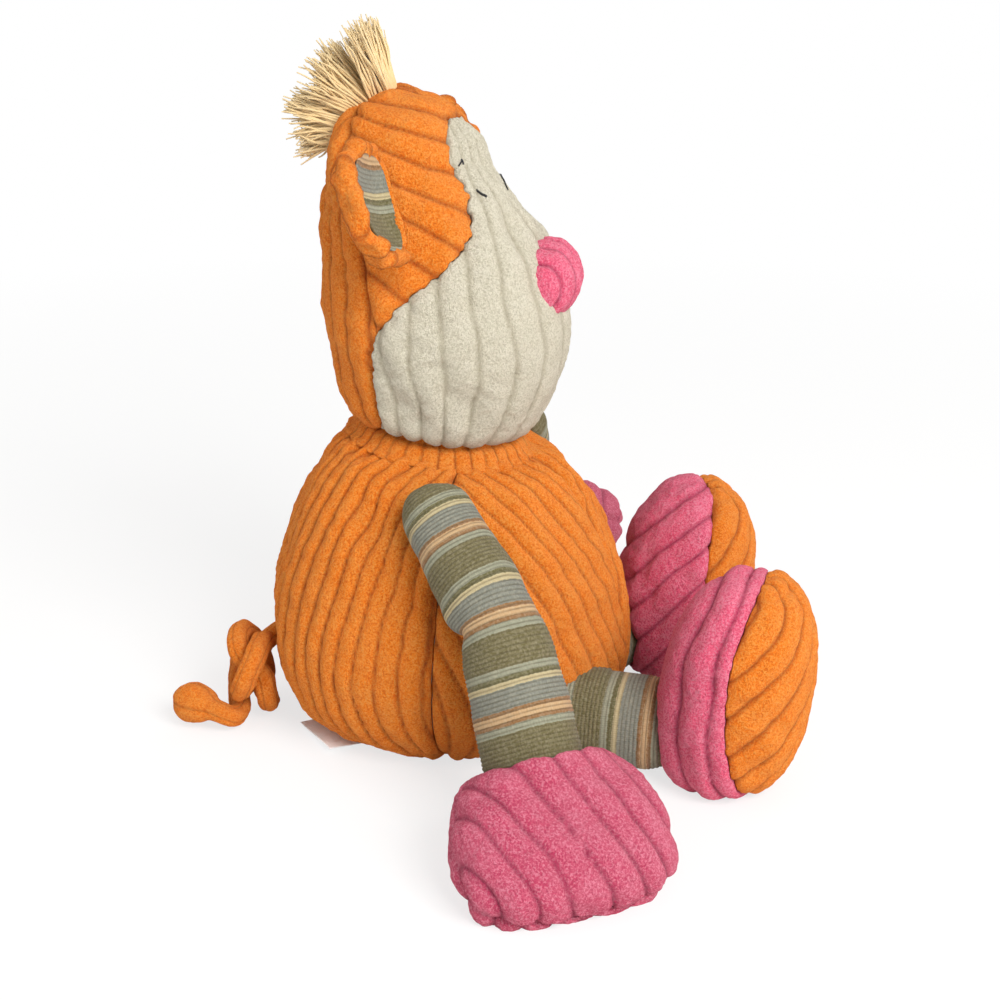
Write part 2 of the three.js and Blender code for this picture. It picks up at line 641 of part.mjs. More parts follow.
function armPieces(side, pose) {
  const upperWay = hanging(pose.upper, side);
  const forearmWay = hanging(pose.forearm, side);
  const mittWay = hanging(pose.mitt, side);
  const shoulder = shoulderAt(side);
  const elbow = shoulder.clone().addScaledVector(upperWay, UPPER_ARM_LENGTH);
  const wrist = elbow.clone().addScaledVector(forearmWay, FOREARM_LENGTH);
  const elbowRadius = ELBOW_DIAMETER / 2;
  const wristRadius = WRIST_DIAMETER / 2;
  const dome = shoulderDome(side);
  const trim = (shape) => shape.subtract(dome).intersect(aboveFloor);
  const collar = elbow.clone().addScaledVector(upperWay, -ELBOW_COLLAR);
  const cuff = wrist.clone().addScaledVector(mittWay, MITT_CUFF_SET);
  return {
    upper: trim(limbForm(shoulder, elbow, SHOULDER_DIAMETER / 2, elbowRadius, ARM_SWELL, false)
      .intersect(behindPlane(collar, upperWay))
      .subtract(roomyBall(elbow, elbowRadius + FIT_GAP))),
    forearm: trim(limbForm(elbow, wrist, elbowRadius, wristRadius, ARM_SWELL, false)
      .intersect(behindPlane(cuff.clone().addScaledVector(mittWay, -FIT_GAP - ARM_SWELL), mittWay))
      .add(ball(wrist, wristRadius))),
    mitt: trim(mittForm(wrist, mittWay)
      .subtract(roomyBall(wrist, wristRadius + FIT_GAP))
      .intersect(behindPlane(cuff, mittWay.clone().negate()))),
    pivots: {
      shoulder: [shoulder, V(0, -1, 0)],
      elbow: [elbow, upperWay.clone().cross(forearmWay).normalize()],
      wrist: [wrist, forearmWay.clone().cross(mittWay).normalize()],
    },
  };
}

// The foot stands on its heel: an upright oval pad, narrower at the toe
function footForm(rear, way) {
  const across = V(0, 0, 1).cross(way).normalize();
  const middle = rear.clone().addScaledVector(way, FOOT_THICKNESS / 2).setZ(0);
  const lean = Math.tan(deg(FOOT_LEAN));
  return ringForm([
    [-0.03, 0.34, 0.34], [0.02, 0.64, 0.62], [0.12, 0.86, 0.88], [0.3, 0.98, 1], [0.52, 1, 1],
    [0.72, 0.94, 0.92], [0.88, 0.74, 0.72], [0.97, 0.44, 0.44], [1, 0.2, 0.2],
  ].map(([height, wide, thick]) => ({
    at: middle.clone().addScaledVector(way, FOOT_HEIGHT * (height - 0.5) * lean).setZ(FOOT_HEIGHT * height),
    u: way.clone().multiplyScalar((thick * FOOT_THICKNESS) / 2),
    v: across.clone().multiplyScalar((wide * FOOT_WIDTH) / 2),
  })), FOOT_SIDES);
}

// What lies ahead of the seam between instep and sole, which bows back halfway up
function soleCutter(ankle, way, growth) {
  const half = FOOT_HEIGHT / 2;
  const radius = (half * half + SOLE_BULGE * SOLE_BULGE) / (2 * SOLE_BULGE);
  const seam = FOOT_SET + FOOT_THICKNESS - SOLE_THICKNESS;
  const roller = new THREE.CylinderGeometry(radius + growth, radius + growth, 3 * FOOT_WIDTH, 72);
  roller.translate(seam + radius - SOLE_BULGE / 2, 0, 0).rotateY(deg(SOLE_LEAN)).translate(0, 0, half);
  return solid(roller.rotateZ(Math.atan2(way.y, way.x)).translate(ankle.x, ankle.y, 0));
}

const level = (turn) => V(Math.cos(deg(turn)), Math.sin(deg(turn)), 0);

function legPieces(side, length, legTurn, footTurn) {
  const hip = hipAt(side);
  const ankle = hip.clone().addScaledVector(level(legTurn), length);
  const footWay = level(footTurn);
  const foot = footForm(ankle.clone().addScaledVector(footWay, FOOT_SET), footWay)
    .subtract(roomyBall(ankle, legRadius + FIT_GAP))
    .subtract(roomyBall(hip, hipRadius + 3 * FIT_GAP))
    .intersect(aboveFloor);
  const heelLine = ankle.clone().addScaledVector(footWay, FOOT_SET - FIT_GAP);
  const bodyTurned = (turn) => solid(placed(bodyGeometry(-FIT_GAP, BODY_SIDES), new THREE.Matrix4()
    .makeTranslation(hip.x, hip.y, 0)
    .multiply(new THREE.Matrix4().makeRotationZ(deg(turn)))
    .multiply(new THREE.Matrix4().makeTranslation(-hip.x, -hip.y, 0))));
  return {
    leg: limbForm(hip, ankle, hipRadius, legRadius, 0, false)
      .intersect(behindPlane(heelLine, footWay))
      .add(ball(ankle, legRadius))
      .subtract(bodyTurned(side * HIP_TURN_IN).add(bodyTurned(0)).add(bodyTurned(-side * HIP_TURN_OUT)))
      .add(ball(hip, hipRadius))
      .intersect(aboveFloor),
    instep: foot.subtract(soleCutter(ankle, footWay, SEAM_GAP)),
    sole: foot.intersect(soleCutter(ankle, footWay, 0)),
    pivots: {
      hip: [hip, V(0, 0, 1)],
      ankle: [ankle, V(0, 0, 1).cross(footWay).normalize()],
    },
  };
}

// Tail: a trefoil that winds twice round a ring while it turns three times about
// it, opened at the bottom. One end goes in to the body and one out to the tip
const strand = TAIL_DIAMETER * KNOT_LOOSENESS;
const knotRing = 1.13 * strand;
const knotWrap = 0.52 * strand;
const knotDrop = 1.7 * strand;

function tailPath() {
  const bearing = deg(KNOT_BEARING);
  const outward = V(-Math.cos(bearing), -Math.sin(bearing), 0);
  const toRoot = V(-Math.sin(bearing), Math.cos(bearing), 0);
  const height = knotDrop + TAIL_DIAMETER / 2 + KNOT_LIFT;
  const half = columnAt(bodyOutline, height + knotRing);
  const centre = V(-half * Math.cos(bearing), -half * widthShare * Math.sin(bearing), height)
    .addScaledVector(outward, KNOT_OFF_BODY);
  const inKnot = (down, along, out) => centre.clone()
    .addScaledVector(V(0, 0, -1), down * strand)
    .addScaledVector(toRoot, along * strand)
    .addScaledVector(outward, out * strand);
  const steps = 26;
  const start = Math.PI / 3;
  const trefoil = Array.from({ length: steps + 1 }, (_, i) => {
    const angle = start + ((4 * Math.PI - 2 * start) * (steps - i)) / steps;
    const radius = (knotRing + knotWrap * Math.cos(1.5 * angle)) / strand;
    return inKnot(radius * Math.cos(angle), radius * Math.sin(angle), 0.52 * Math.sin(1.5 * angle));
  });
  const tip = TAIL_END_LENGTH / strand;
  return new THREE.CatmullRomCurve3([
    tailRoot.clone().add(V(tailRootRadius, 0, 0)),
    tailRoot,
    tailRoot.clone().add(V(-tailRootRadius - 1, -1, -2)),
    inKnot(0.75, 2.15, 0.05),
    inKnot(1.4, 1.4, -0.35),
    inKnot(1.7, 0.45, -0.6),
    inKnot(1.36, -0.5, -0.6),
    ...trefoil,
    inKnot(1.36, 0.5, 0.6),
    inKnot(1.7, -0.45, 0.6),
    inKnot(1.6, -1.15, 0.95),
    inKnot(1.35, -1.2, 1.45),
    inKnot(1.25, -0.6, 1.05 + 0.5 * tip),
    inKnot(1.2, 0.1, 0.95 + tip),
  ], false, 'centripetal');
}

// Half the tail's thickness at a distance along it: a ball at the root, then the
// strand, then the fat round end
function tailRadius(distance, length) {
  const rootShare = Math.min(distance / (2 * tailRootRadius), 1);
  const rootBall = tailRootRadius * Math.sqrt(Math.max(1 - (2 * rootShare - 1) ** 2, 0));
  const endShare = Math.min((length - distance) / TAIL_END_LENGTH, 1);
  const endBulb = (TAIL_END_DIAMETER / 2) * Math.sin(Math.PI * endShare ** 0.8) ** 0.65;
  const strandHalf = distance > tailRootRadius && length - distance > TAIL_END_LENGTH / 2 ? TAIL_DIAMETER / 2 : 0;
  return Math.max(rootBall, endBulb, strandHalf, 0.8);
}

const tailCurve = tailPath();
const tailLength = tailCurve.getLength();

function tailForm(steps = 62, sides = 8) {
  const frames = tailCurve.computeFrenetFrames(steps);
  return ringForm(tailCurve.getSpacedPoints(steps).map((at, i) => {
    const radius = tailRadius((tailLength * i) / steps, tailLength);
    return {
      at,
      u: frames.normals[i].clone().multiplyScalar(radius),
      v: frames.binormals[i].clone().multiplyScalar(radius),
    };
  }), sides);
}

// The least gap between two turns of the knot that lie well apart along it
function leastTailGap() {
  const points = tailCurve.getSpacedPoints(400);
  const spacing = tailLength / 400;
  const halves = points.map((_, i) => tailRadius(i * spacing, tailLength));
  let least = Infinity;
  points.forEach((point, i) => {
    for (let j = i + 1; j < points.length; j += 1) {
      if ((j - i) * spacing > 1.9 * (halves[i] + halves[j])) {
        least = Math.min(least, point.distanceTo(points[j]) - halves[i] - halves[j]);
      }
    }
  });
  return least;
}

console.log(`least gap of the tail to itself: ${leastTailGap().toFixed(2)} mm`);

// Label: a bare strip sewn in under the back of the seat, clear of the floor
function labelForm() {
  const strip = new THREE.BoxGeometry(LABEL_WIDTH + LABEL_INSET, LABEL_LENGTH, LABEL_THICKNESS);
  strip.translate((LABEL_WIDTH - LABEL_INSET) / 2, 0, LABEL_THICKNESS / 2);
  strip.rotateY(deg(-LABEL_TILT)).translate(SEAT_DEPTH / 2, 0, FIT_GAP);
  return solid(strip.rotateZ(deg(LABEL_BEARING))).subtract(bodyForm(-FIT_GAP));
}

const right = armPieces(-1, RIGHT_ARM);
const left = armPieces(1, LEFT_ARM);
const rightLeg = legPieces(-1, RIGHT_LEG_LENGTH, RIGHT_LEG_TURN, RIGHT_FOOT_TURN);
const leftLeg = legPieces(1, LEFT_LEG_LENGTH, LEFT_LEG_TURN, LEFT_FOOT_TURN);
const rightEar = earPieces(-1);
const leftEar = earPieces(1);

const fabric = (color) => new THREE.MeshStandardMaterial({ color, roughness: 0.95, metalness: 0 });
const ORANGE = 0xf28a35;
const CREAM = 0xdcd5bd;
const PINK = 0xf0679a;
const KNIT = 0x8f8a6a;
const YARN = 0xdcb878;
const FILLING = 0xf4f2ec;
const STITCH = 0x2b2b2e;
const LABEL = 0xf2f1ee;

function add(group, name, shape, color) {
  const mesh = new THREE.Mesh(geometryOf(shape), fabric(color));
  mesh.name = name;
  group.add(mesh);
}

const torso = new THREE.Group();
add(torso, 'seat_panel', seatPanel, ORANGE);
add(torso, 'back_panel_right', backPanelRight, ORANGE);
add(torso, 'back_panel_left', backPanelLeft, ORANGE);
add(torso, 'belly_panel_right', bellyPanelRight, ORANGE);
add(torso, 'belly_panel_left', bellyPanelLeft, ORANGE);
add(torso, 'body_stuffing', bodyStuffing, FILLING);
add(torso, 'pellet_bag', pelletBag, FILLING);
add(torso, 'tail', tailForm(), ORANGE);
add(torso, 'seam_label', labelForm(), LABEL);

const head = new THREE.Group();
add(head, 'neck_stuffing', neckBall, FILLING);
add(head, 'head_back_panel', headBackPanel, ORANGE);
add(head, 'crown_panel_right', crownPanelRight, ORANGE);
add(head, 'crown_panel_left', crownPanelLeft, ORANGE);
add(head, 'face_panel', facePanel, CREAM);
add(head, 'head_stuffing', headStuffing, FILLING);
add(head, 'nose', nose, PINK);
add(head, 'right_eye', eyeForm(-1), STITCH);
add(head, 'left_eye', eyeForm(1), STITCH);
add(head, 'hair_tuft', tuftForm(), YARN);
add(head, 'right_ear_back', rightEar.back, ORANGE);
add(head, 'right_ear_lining', rightEar.lining, KNIT);
add(head, 'left_ear_back', leftEar.back, ORANGE);
add(head, 'left_ear_lining', leftEar.lining, KNIT);

const arms = new THREE.Group();
add(arms, 'right_upper_arm', right.upper, KNIT);
add(arms, 'right_forearm', right.forearm, KNIT);
add(arms, 'right_mitt', right.mitt, PINK);
add(arms, 'left_upper_arm', left.upper, KNIT);
add(arms, 'left_forearm', left.forearm, KNIT);
add(arms, 'left_mitt', left.mitt, PINK);

const legs = new THREE.Group();
add(legs, 'right_leg', rightLeg.leg, KNIT);
add(legs, 'right_instep', rightLeg.instep, PINK);
add(legs, 'right_sole', rightLeg.sole, ORANGE);
add(legs, 'left_leg', leftLeg.leg, KNIT);
add(legs, 'left_instep', leftLeg.instep, PINK);
add(legs, 'left_sole', leftLeg.sole, ORANGE);

const monkey = new THREE.Group();
monkey.add(torso, head, arms, legs);

// Where each moving piece turns: a point, and the way of the line through it
const earHinge = (side) => {
  const frame = earFrame(side);
  return [V(0, 0, 0).applyMatrix4(frame), V(0, 0, 1).transformDirection(frame)];
};
monkey.userData.pivots = {
  neck: [neck, V(Math.sin(deg(NECK_TILT)), 0, Math.cos(deg(NECK_TILT)))],
  head: [neck, V(0, 1, 0)],
  right_shoulder: right.pivots.shoulder,
  right_elbow: right.pivots.elbow,
  right_wrist: right.pivots.wrist,
  left_shoulder: left.pivots.shoulder,
  left_elbow: left.pivots.elbow,
  left_wrist: left.pivots.wrist,
  right_hip: rightLeg.pivots.hip,
  right_ankle: rightLeg.pivots.ankle,
  left_hip: leftLeg.pivots.hip,
  left_ankle: leftLeg.pivots.ankle,
  right_ear: earHinge(-1),
  left_ear: earHinge(1),
  tail: [tailRoot, V(0, 0, -1)],
};

export default monkey;
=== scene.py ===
"""A seated plush monkey of wide-wale plush corduroy with striped knit limbs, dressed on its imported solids."""

import json
import math

import bpy
import numpy as np
from bpy.props import FloatProperty, FloatVectorProperty, IntProperty, PointerProperty
from mathutils import Matrix, Vector


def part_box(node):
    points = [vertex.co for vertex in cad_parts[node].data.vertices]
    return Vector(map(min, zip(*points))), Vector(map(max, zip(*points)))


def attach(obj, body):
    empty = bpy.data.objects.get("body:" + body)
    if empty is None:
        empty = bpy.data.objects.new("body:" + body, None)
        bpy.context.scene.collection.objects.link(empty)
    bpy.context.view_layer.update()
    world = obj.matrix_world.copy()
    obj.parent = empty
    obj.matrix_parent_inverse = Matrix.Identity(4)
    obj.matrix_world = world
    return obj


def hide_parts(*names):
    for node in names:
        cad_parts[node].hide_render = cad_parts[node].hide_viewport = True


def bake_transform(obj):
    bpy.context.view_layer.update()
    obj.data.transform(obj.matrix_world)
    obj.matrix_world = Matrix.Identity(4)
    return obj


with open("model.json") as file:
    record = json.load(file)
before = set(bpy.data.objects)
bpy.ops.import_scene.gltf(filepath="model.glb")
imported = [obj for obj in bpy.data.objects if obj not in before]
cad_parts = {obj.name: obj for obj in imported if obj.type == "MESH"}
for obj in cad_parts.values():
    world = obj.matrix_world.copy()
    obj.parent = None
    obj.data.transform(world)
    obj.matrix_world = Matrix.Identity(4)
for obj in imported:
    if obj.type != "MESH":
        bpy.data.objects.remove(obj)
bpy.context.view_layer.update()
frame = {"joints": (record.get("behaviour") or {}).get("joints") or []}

bl_info = {
    "name": "Corduroy Plush Monkey",
    "version": (1, 0, 0),
    "blender": (4, 5, 0),
    "location": "View3D > Sidebar > Plush Monkey",
    "description": "Sews a seated plush monkey in wide-wale corduroy with striped knit limbs",
    "category": "Object",
}

MM = 0.001

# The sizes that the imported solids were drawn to, in millimetres
BODY_OUTLINE = [(0, 51), (13, 71), (44, 78), (88, 66), (118, 48.5), (134, 30)]
BODY_HEIGHT = 134
BODY_WIDTH_SHARE = 146 / 156
NECK_SETBACK = 6
SEAT_SEAM_RADIUS = 49
SIDE_SEAM = 12
NECK_TILT = math.radians(8)
BODY_CONE = math.radians(5.5)
HEAD_CONE = math.radians(3)
GATHER_RADIUS = 30
HEAD_LEVELS = [  # height above the neck, then how far back, forward and sideways
    (-9, 22.2, 25.8, 22.8),
    (10, 37, 43, 38),
    (42, 43, 53, 48),
    (74, 45, 46, 47),
    (106, 43, 23, 42),
    (128, 36, 10, 29),
    (138, 21.6, -6, 10.2),
]
FACE_BORDER = [(6, 167), (8, 134), (12, 118), (23, 88), (-4, 60), (-14, 39), (-15, -38)]
BACK_SEAM_SET = 16
BACK_SEAM_LEAN = math.radians(12)
HIP_OPENING = 22.6
TAIL_OPENING = 8.1
NEEDLE_GAP = 0.15  # half of what shows between two panels at their seam
ROLL, ROLL_WIDTH = 2.3, 5.0  # how deep and wide a panel rolls in at its seams
FAR = 99.0  # further than any seam
SIDES = (("right", -1), ("left", 1))


def turning_point(joint):
    """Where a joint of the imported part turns, in millimetres."""
    return np.array(next(j for j in frame["joints"] if j["name"] == joint)["pos_m"]) / MM


NECK = turning_point("neck_turn")
TAIL_ROOT = turning_point("tail_swing")
NECK_AXIS = np.array([math.sin(NECK_TILT), 0, math.cos(NECK_TILT)])
NECK_AHEAD = np.array([math.cos(NECK_TILT), 0, -math.sin(NECK_TILT)])


# Curves, rings and surfaces, as arrays of points in millimetres
def span(b, c, out, into, t):
    """A smooth curve from b, which it leaves by one way, to c, where it comes in by the other."""
    return (2 * b - 2 * c + out + into) * t**3 + (-3 * b + 3 * c - 2 * out - into) * t**2 + out * t + b


def through(points, count):
    """Points along a smooth curve through the given ones, count to a span."""
    p = np.array([points[0], *points, points[-1]], float)
    t = np.linspace(0, 1, count, endpoint=False)[:, None]
    spans = []
    for a, b, c, d in zip(p, p[1:], p[2:], p[3:]):
        spans.append(span(b, c, (c - a) / 2, (d - b) / 2, t))
    return np.concatenate([*spans, p[-1:]])


def evenly(line, count, weights=None):
    """The same line cut into even steps."""
    steps = np.linalg.norm(np.diff(line if weights is None else line * weights, axis=0), axis=1)
    along = np.concatenate([[0], np.cumsum(steps)])
    places = np.linspace(0, along[-1], count)
    return np.stack([np.interp(places, along, line[:, k]) for k in range(line.shape[1])], 1)


def unit(v):
    return v / np.maximum(np.linalg.norm(v, axis=-1, keepdims=True), 1e-12)


def rings(centres, us, vs, columns, power=2.0):
    """Rows of rings. u across v points on to the next ring, and a power over 2 squares the rings."""
    angle = 2 * np.pi * np.arange(columns) / columns
    c, s = np.cos(angle), np.sin(angle)
    c, s = np.sign(c) * np.abs(c) ** (2 / power), np.sign(s) * np.abs(s) ** (2 / power)
    return centres[:, None] + us[:, None] * c[None, :, None] + vs[:, None] * s[None, :, None]


def ripple(points, size, seed, waves=18):
    """A smooth random field of about -1 to 1, whose bumps are about size across."""
    rng = np.random.default_rng(seed)
    way = unit(rng.normal(size=(waves, 3))) * (np.pi / size) * rng.uniform(0.6, 1.5, (waves, 1))
    return np.sin(points @ way.T + rng.uniform(0, 2 * np.pi, waves)).sum(1) / math.sqrt(1.6 * waves)


def ease(x, low, high):
    """0 at low and 1 at high, smoothly."""
    t = np.clip((x - low) / (high - low), 0, 1)
    return t * t * (3 - 2 * t)


def skin_of(rows):
    """Points and triangles of a closed surface from rows of rings, with a pole at each end."""
    count, columns = rows.shape[:2]
    points = np.concatenate([rows.reshape(-1, 3), rows[0].mean(0)[None], rows[-1].mean(0)[None]])
    low = (np.arange(count - 1)[:, None] * columns + np.arange(columns)).ravel()
    turn = (np.arange(count - 1)[:, None] * columns + (np.arange(columns) + 1) % columns).ravel()
    i, j = np.arange(columns), (np.arange(columns) + 1) % columns
    first, last = np.full(columns, count * columns), np.full(columns, count * columns + 1)
    top = (count - 1) * columns
    return points, np.concatenate([
        np.stack([low, turn, turn + columns], 1),
        np.stack([low, turn + columns, low + columns], 1),
        np.stack([first, j, i], 1),
        np.stack([last, top + i, top + j], 1),
    ])


def normals_of(points, tris):
    a, b, c = (points[tris[:, k]] for k in range(3))
    across = np.cross(b - a, c - a)
    total = np.zeros_like(points)
    for k in range(3):
        for axis in range(3):
            total[:, axis] += np.bincount(tris[:, k], across[:, axis], len(points))
    return unit(total)


def clipped(points, tris, field):
    """The part of a surface where the field is above 0, cut along the line where it is 0."""
    inside = field > 0
    count = inside[tris].sum(1)

    def turned(some, odd):
        k = np.argmax(inside[some] == odd, axis=1)
        return np.take_along_axis(some, (k[:, None] + np.arange(3)) % 3, 1)

    one, two = turned(tris[count == 1], True), turned(tris[count == 2], False)
    edges = np.concatenate([one[:, [0, 1]], one[:, [0, 2]], two[:, [0, 1]], two[:, [0, 2]]])
    if not len(edges):
        return tidy(points, tris[count == 3])
    pairs, where = np.unique(np.sort(edges, axis=1), axis=0, return_inverse=True)
    a, b = pairs.T
    share = field[a] / (field[a] - field[b])
    made = points[a] + (points[b] - points[a]) * share[:, None]
    ids = len(points) + where.ravel()
    p, q, r, s = np.split(ids, [len(one), 2 * len(one), 2 * len(one) + len(two)])
    return tidy(np.concatenate([points, made]), np.concatenate([
        tris[count == 3],
        np.stack([one[:, 0], p, q], 1),
        np.stack([two[:, 1], two[:, 2], s], 1),
        np.stack([two[:, 1], s, r], 1),
    ]))


def tidy(points, tris):
    used, where = np.unique(tris, return_inverse=True)
    return points[used], where.reshape(-1, 3)


def open_edges(tris):
    """The directed edges that only one triangle has."""
    edges = np.concatenate([tris[:, [0, 1]], tris[:, [1, 2]], tris[:, [2, 0]]])
    _, where, uses = np.unique(np.sort(edges, axis=1), axis=0, return_inverse=True, return_counts=True)
    return edges[uses[where.ravel()] == 1]


def backed(outer, inner, tris):
    """A closed skin: the outer surface, the inner one, and a rim round each opening."""
    a, b = open_edges(tris).T
    n = len(outer)
    return np.concatenate([outer, inner]), np.concatenate([
        tris, tris[:, ::-1] + n, np.stack([b, a, a + n], 1), np.stack([b, a + n, b + n], 1),
    ])


# Plush corduroy: rolls of pile between narrow grooves
def crown_of(u, pitch):
    """0 in a groove and 1 along the crown of a wale."""
    return np.abs(np.sin(np.pi * u / pitch)) ** 0.62


def corded(points, normals, u, edge, pitch, depth, seed, roll=ROLL, roll_width=ROLL_WIDTH):
    """Raises the wales, rolls the cloth in at its seams and roughens the pile. Gives points and shades."""
    drift = 0.2 * pitch * ripple(points, 36, seed) + 0.06 * pitch * ripple(points, 13, seed + 1)
    crown = crown_of(u + drift, pitch)
    flatten = 1 - 0.35 * np.clip(ripple(points, 30, seed + 2), 0, 1)
    rise = depth * flatten * (crown - 0.55)
    for height, size, step in ((0.36, 11, 3), (0.22, 4.2, 4), (0.17, 1.9, 5)):
        rise += height * ripple(points, size, seed + step)
    if edge is not None:
        near = np.clip(1 - edge / roll_width, 0, 1)
        rise -= roll * near**2
        # Along a seam the groove mask rises, for painted shade where the cloth rolls in
        crown = crown * (1 - 0.5 * np.clip(1 - edge / (0.4 * roll_width), 0, 1))
    # groove marks where the materials paint shade: 1 in a groove, 0 on a crown
    return points + normals * rise[:, None], {"groove": 1 - crown}


def ragged(points):
    """How far the pile of one colour straggles over a seam on to the next, to and fro."""
    return 0.55 * ripple(points[:, :3], 3.4, 171) + 0.4 * ripple(points[:, :3], 2.1, 172)


def linked(name, data):
    """A new object in the scene."""
    made = bpy.data.objects.new(name, data)
    bpy.context.scene.collection.objects.link(made)
    return made


def shaded(mesh, shades):
    for key, values in shades.items():
        mesh.attributes.new(key, "FLOAT", "POINT").data.foreach_set("value", np.asarray(values, np.float32))
    return mesh


def made_piece(name, points, tris, shades=None, material=None):
    """A smooth mesh object in metres, with its shades as attributes."""
    mesh = bpy.data.meshes.new(name)
    mesh.from_pydata((points * MM).tolist(), [], tris.tolist())
    mesh.polygons.foreach_set("use_smooth", [True] * len(mesh.polygons))
    shaded(mesh, shades or {}).validate()
    if material:
        mesh.materials.append(material)
    return linked(name, mesh)


def seated(piece, body, slot, *nodes, fill=None):
    """Puts a finished piece on its body, for the solids that it stands for."""
    if body:
        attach(piece, body)
    if nodes:
        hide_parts(*nodes)
    return piece


def sewn(name, cover, material, body, slot, node, fill=0.8):
    """A finished stuffed piece from its points, triangles and shades, on its body."""
    return seated(made_piece(name, *cover, material), body, slot, node, fill=fill)


# Stuffing: a coarse copy of a form swells as cloth between its pinned seams
def swelling(rows_of, shape, pinned, most, grow=0.03, pressure=3.0, frames=18):
    """How far each place of a form moves when it is stuffed, as rows of rings."""
    rows = rows_of(*shape)
    points, tris = skin_of(rows)
    cover = made_piece("stuffing_trial", points, tris)
    held = cover.vertex_groups.new(name="held")
    for i, weight in enumerate(pinned(points)):
        held.add([i], float(weight), "REPLACE")
    cloth = cover.modifiers.new("Cloth", "CLOTH")
    cloth.settings.vertex_group_mass = "held"
    cloth.settings.pin_stiffness = 1
    cloth.settings.quality = 6
    cloth.settings.mass = 0.3
    cloth.settings.tension_stiffness = 15
    cloth.settings.bending_stiffness = 0.4
    cloth.settings.shrink_min = -grow
    cloth.settings.use_pressure = True
    cloth.settings.uniform_pressure_force = pressure
    cloth.settings.effector_weights.gravity = 0
    cloth.point_cache.frame_start = 1
    cloth.point_cache.frame_end = frames
    scene = bpy.context.scene
    for at in range(1, frames + 1):
        scene.frame_set(at)
    result = cover.evaluated_get(bpy.context.evaluated_depsgraph_get()).to_mesh()
    found = np.zeros(len(points) * 3, np.float32)
    result.vertices.foreach_get("co", found)
    scene.frame_set(1)
    bpy.data.objects.remove(cover)
    moved = np.nan_to_num(found.reshape(-1, 3) / MM - points)
    length = np.linalg.norm(moved, axis=1, keepdims=True)
    moved *= np.minimum(1, most / np.maximum(length, 1e-9))
    return moved[:-2].reshape(rows.shape)


def spread(moved, count, columns):
    """Takes the moves of a coarse form to a fine one."""
    at = np.linspace(0, len(moved) - 1, count)
    low = np.minimum(at.astype(int), len(moved) - 2)
    rows = moved[low] + (moved[low + 1] - moved[low]) * (at - low)[:, None, None]
    at = np.arange(columns) * moved.shape[1] / columns
    low = at.astype(int)
    fine = rows[:, low] + (rows[:, (low + 1) % moved.shape[1]] - rows[:, low]) * (at - low)[None, :, None]
    for _ in range(6):
        fine = (np.roll(fine, 1, 1) + 2 * fine + np.roll(fine, -1, 1)) / 4
        fine[1:-1] = (fine[:-2] + 2 * fine[1:-1] + fine[2:]) / 4
    return fine


# Body: a pear of five panels
def setback(z):
    return -NECK_SETBACK * (z / BODY_HEIGHT) ** 2


BODY_LINE = np.concatenate([
    np.stack([np.zeros(10), np.linspace(1.5, 46, 10)], 1),
    through(BODY_OUTLINE, 24),
    [(136.5, 20), (138, 8)],
])


def body_rows(count, columns, inset=0.0):
    line = evenly(BODY_LINE, count)
    z, half = line[:, 0] * (1 - 2 * inset / BODY_HEIGHT) + inset, np.maximum(line[:, 1] - inset, 0.8)
    zero = np.zeros(count)
    return kept_off_neck(rings(
        np.stack([setback(z), zero, z], 1), np.stack([half, zero, zero], 1),
        np.stack([zero, half * BODY_WIDTH_SHARE, zero], 1), columns,
    ), -1, BODY_CONE, inset)


def neck_polar(points):
    """Height along the neck's tilted axis, and distance from it."""
    away = points[:, :3] - NECK
    h = away @ NECK_AXIS
    return h, np.linalg.norm(away - h[:, None] * NECK_AXIS, axis=1)


def kept_off_neck(rows, side, cone, inset, softness=3.5):
    """Turns a form in towards the neck, on its side of the cone that leaves room to nod."""
    points = rows.reshape(-1, 3)
    away = points - NECK
    out = unit(away - (away @ NECK_AXIS)[:, None] * NECK_AXIS)
    facing = math.sin(cone) * out - side * math.cos(cone) * NECK_AXIS
    over = (away * facing).sum(1) + inset
    return (points - facing * (0.5 * (over + np.hypot(over, softness)))[:, None]).reshape(rows.shape)


def outside_gathers(points):
    h, r = neck_polar(points)
    return np.where(np.abs(h) < 25, r - GATHER_RADIUS, FAR)


def under_neck(points):
    h, r = neck_polar(points)
    return -(h * math.cos(BODY_CONE) + r * math.sin(BODY_CONE))


def from_point(points, centre, radius):
    return np.linalg.norm(points[:, :3] - centre, axis=1) - radius


def hole(centre, radius):
    return lambda p: from_point(p, centre, radius)


def on_side(sign):
    return lambda p: sign * p[:, 1] - NEEDLE_GAP


def round_seat(points):
    return np.where(points[:, 2] < 25, np.hypot(points[:, 0], points[:, 1]) - SEAT_SEAM_RADIUS, FAR)


def body_bearing(points):
    """How far round from the middle of the back, in radians, the same on both sides."""
    return np.arctan2(np.abs(points[:, 1]) / BODY_WIDTH_SHARE, -(points[:, 0] - setback(points[:, 2])))


def body_girth(points):
    """A radius that keeps the wales nearly as far apart where the pear narrows."""
    half = np.hypot(points[:, 0] - setback(points[:, 2]), points[:, 1] / BODY_WIDTH_SHARE)
    return 78 * (np.maximum(half, 12) / 78) ** 0.55


def back_wales(points):
    return body_bearing(points) * body_girth(points)


def belly_wales(points):
    slant = math.radians(20)
    across = (np.pi - body_bearing(points)) * body_girth(points)
    return across * math.cos(slant) - points[:, 2] * math.sin(slant)


def seat_wales(points):
    return points[:, 0] + 4.0


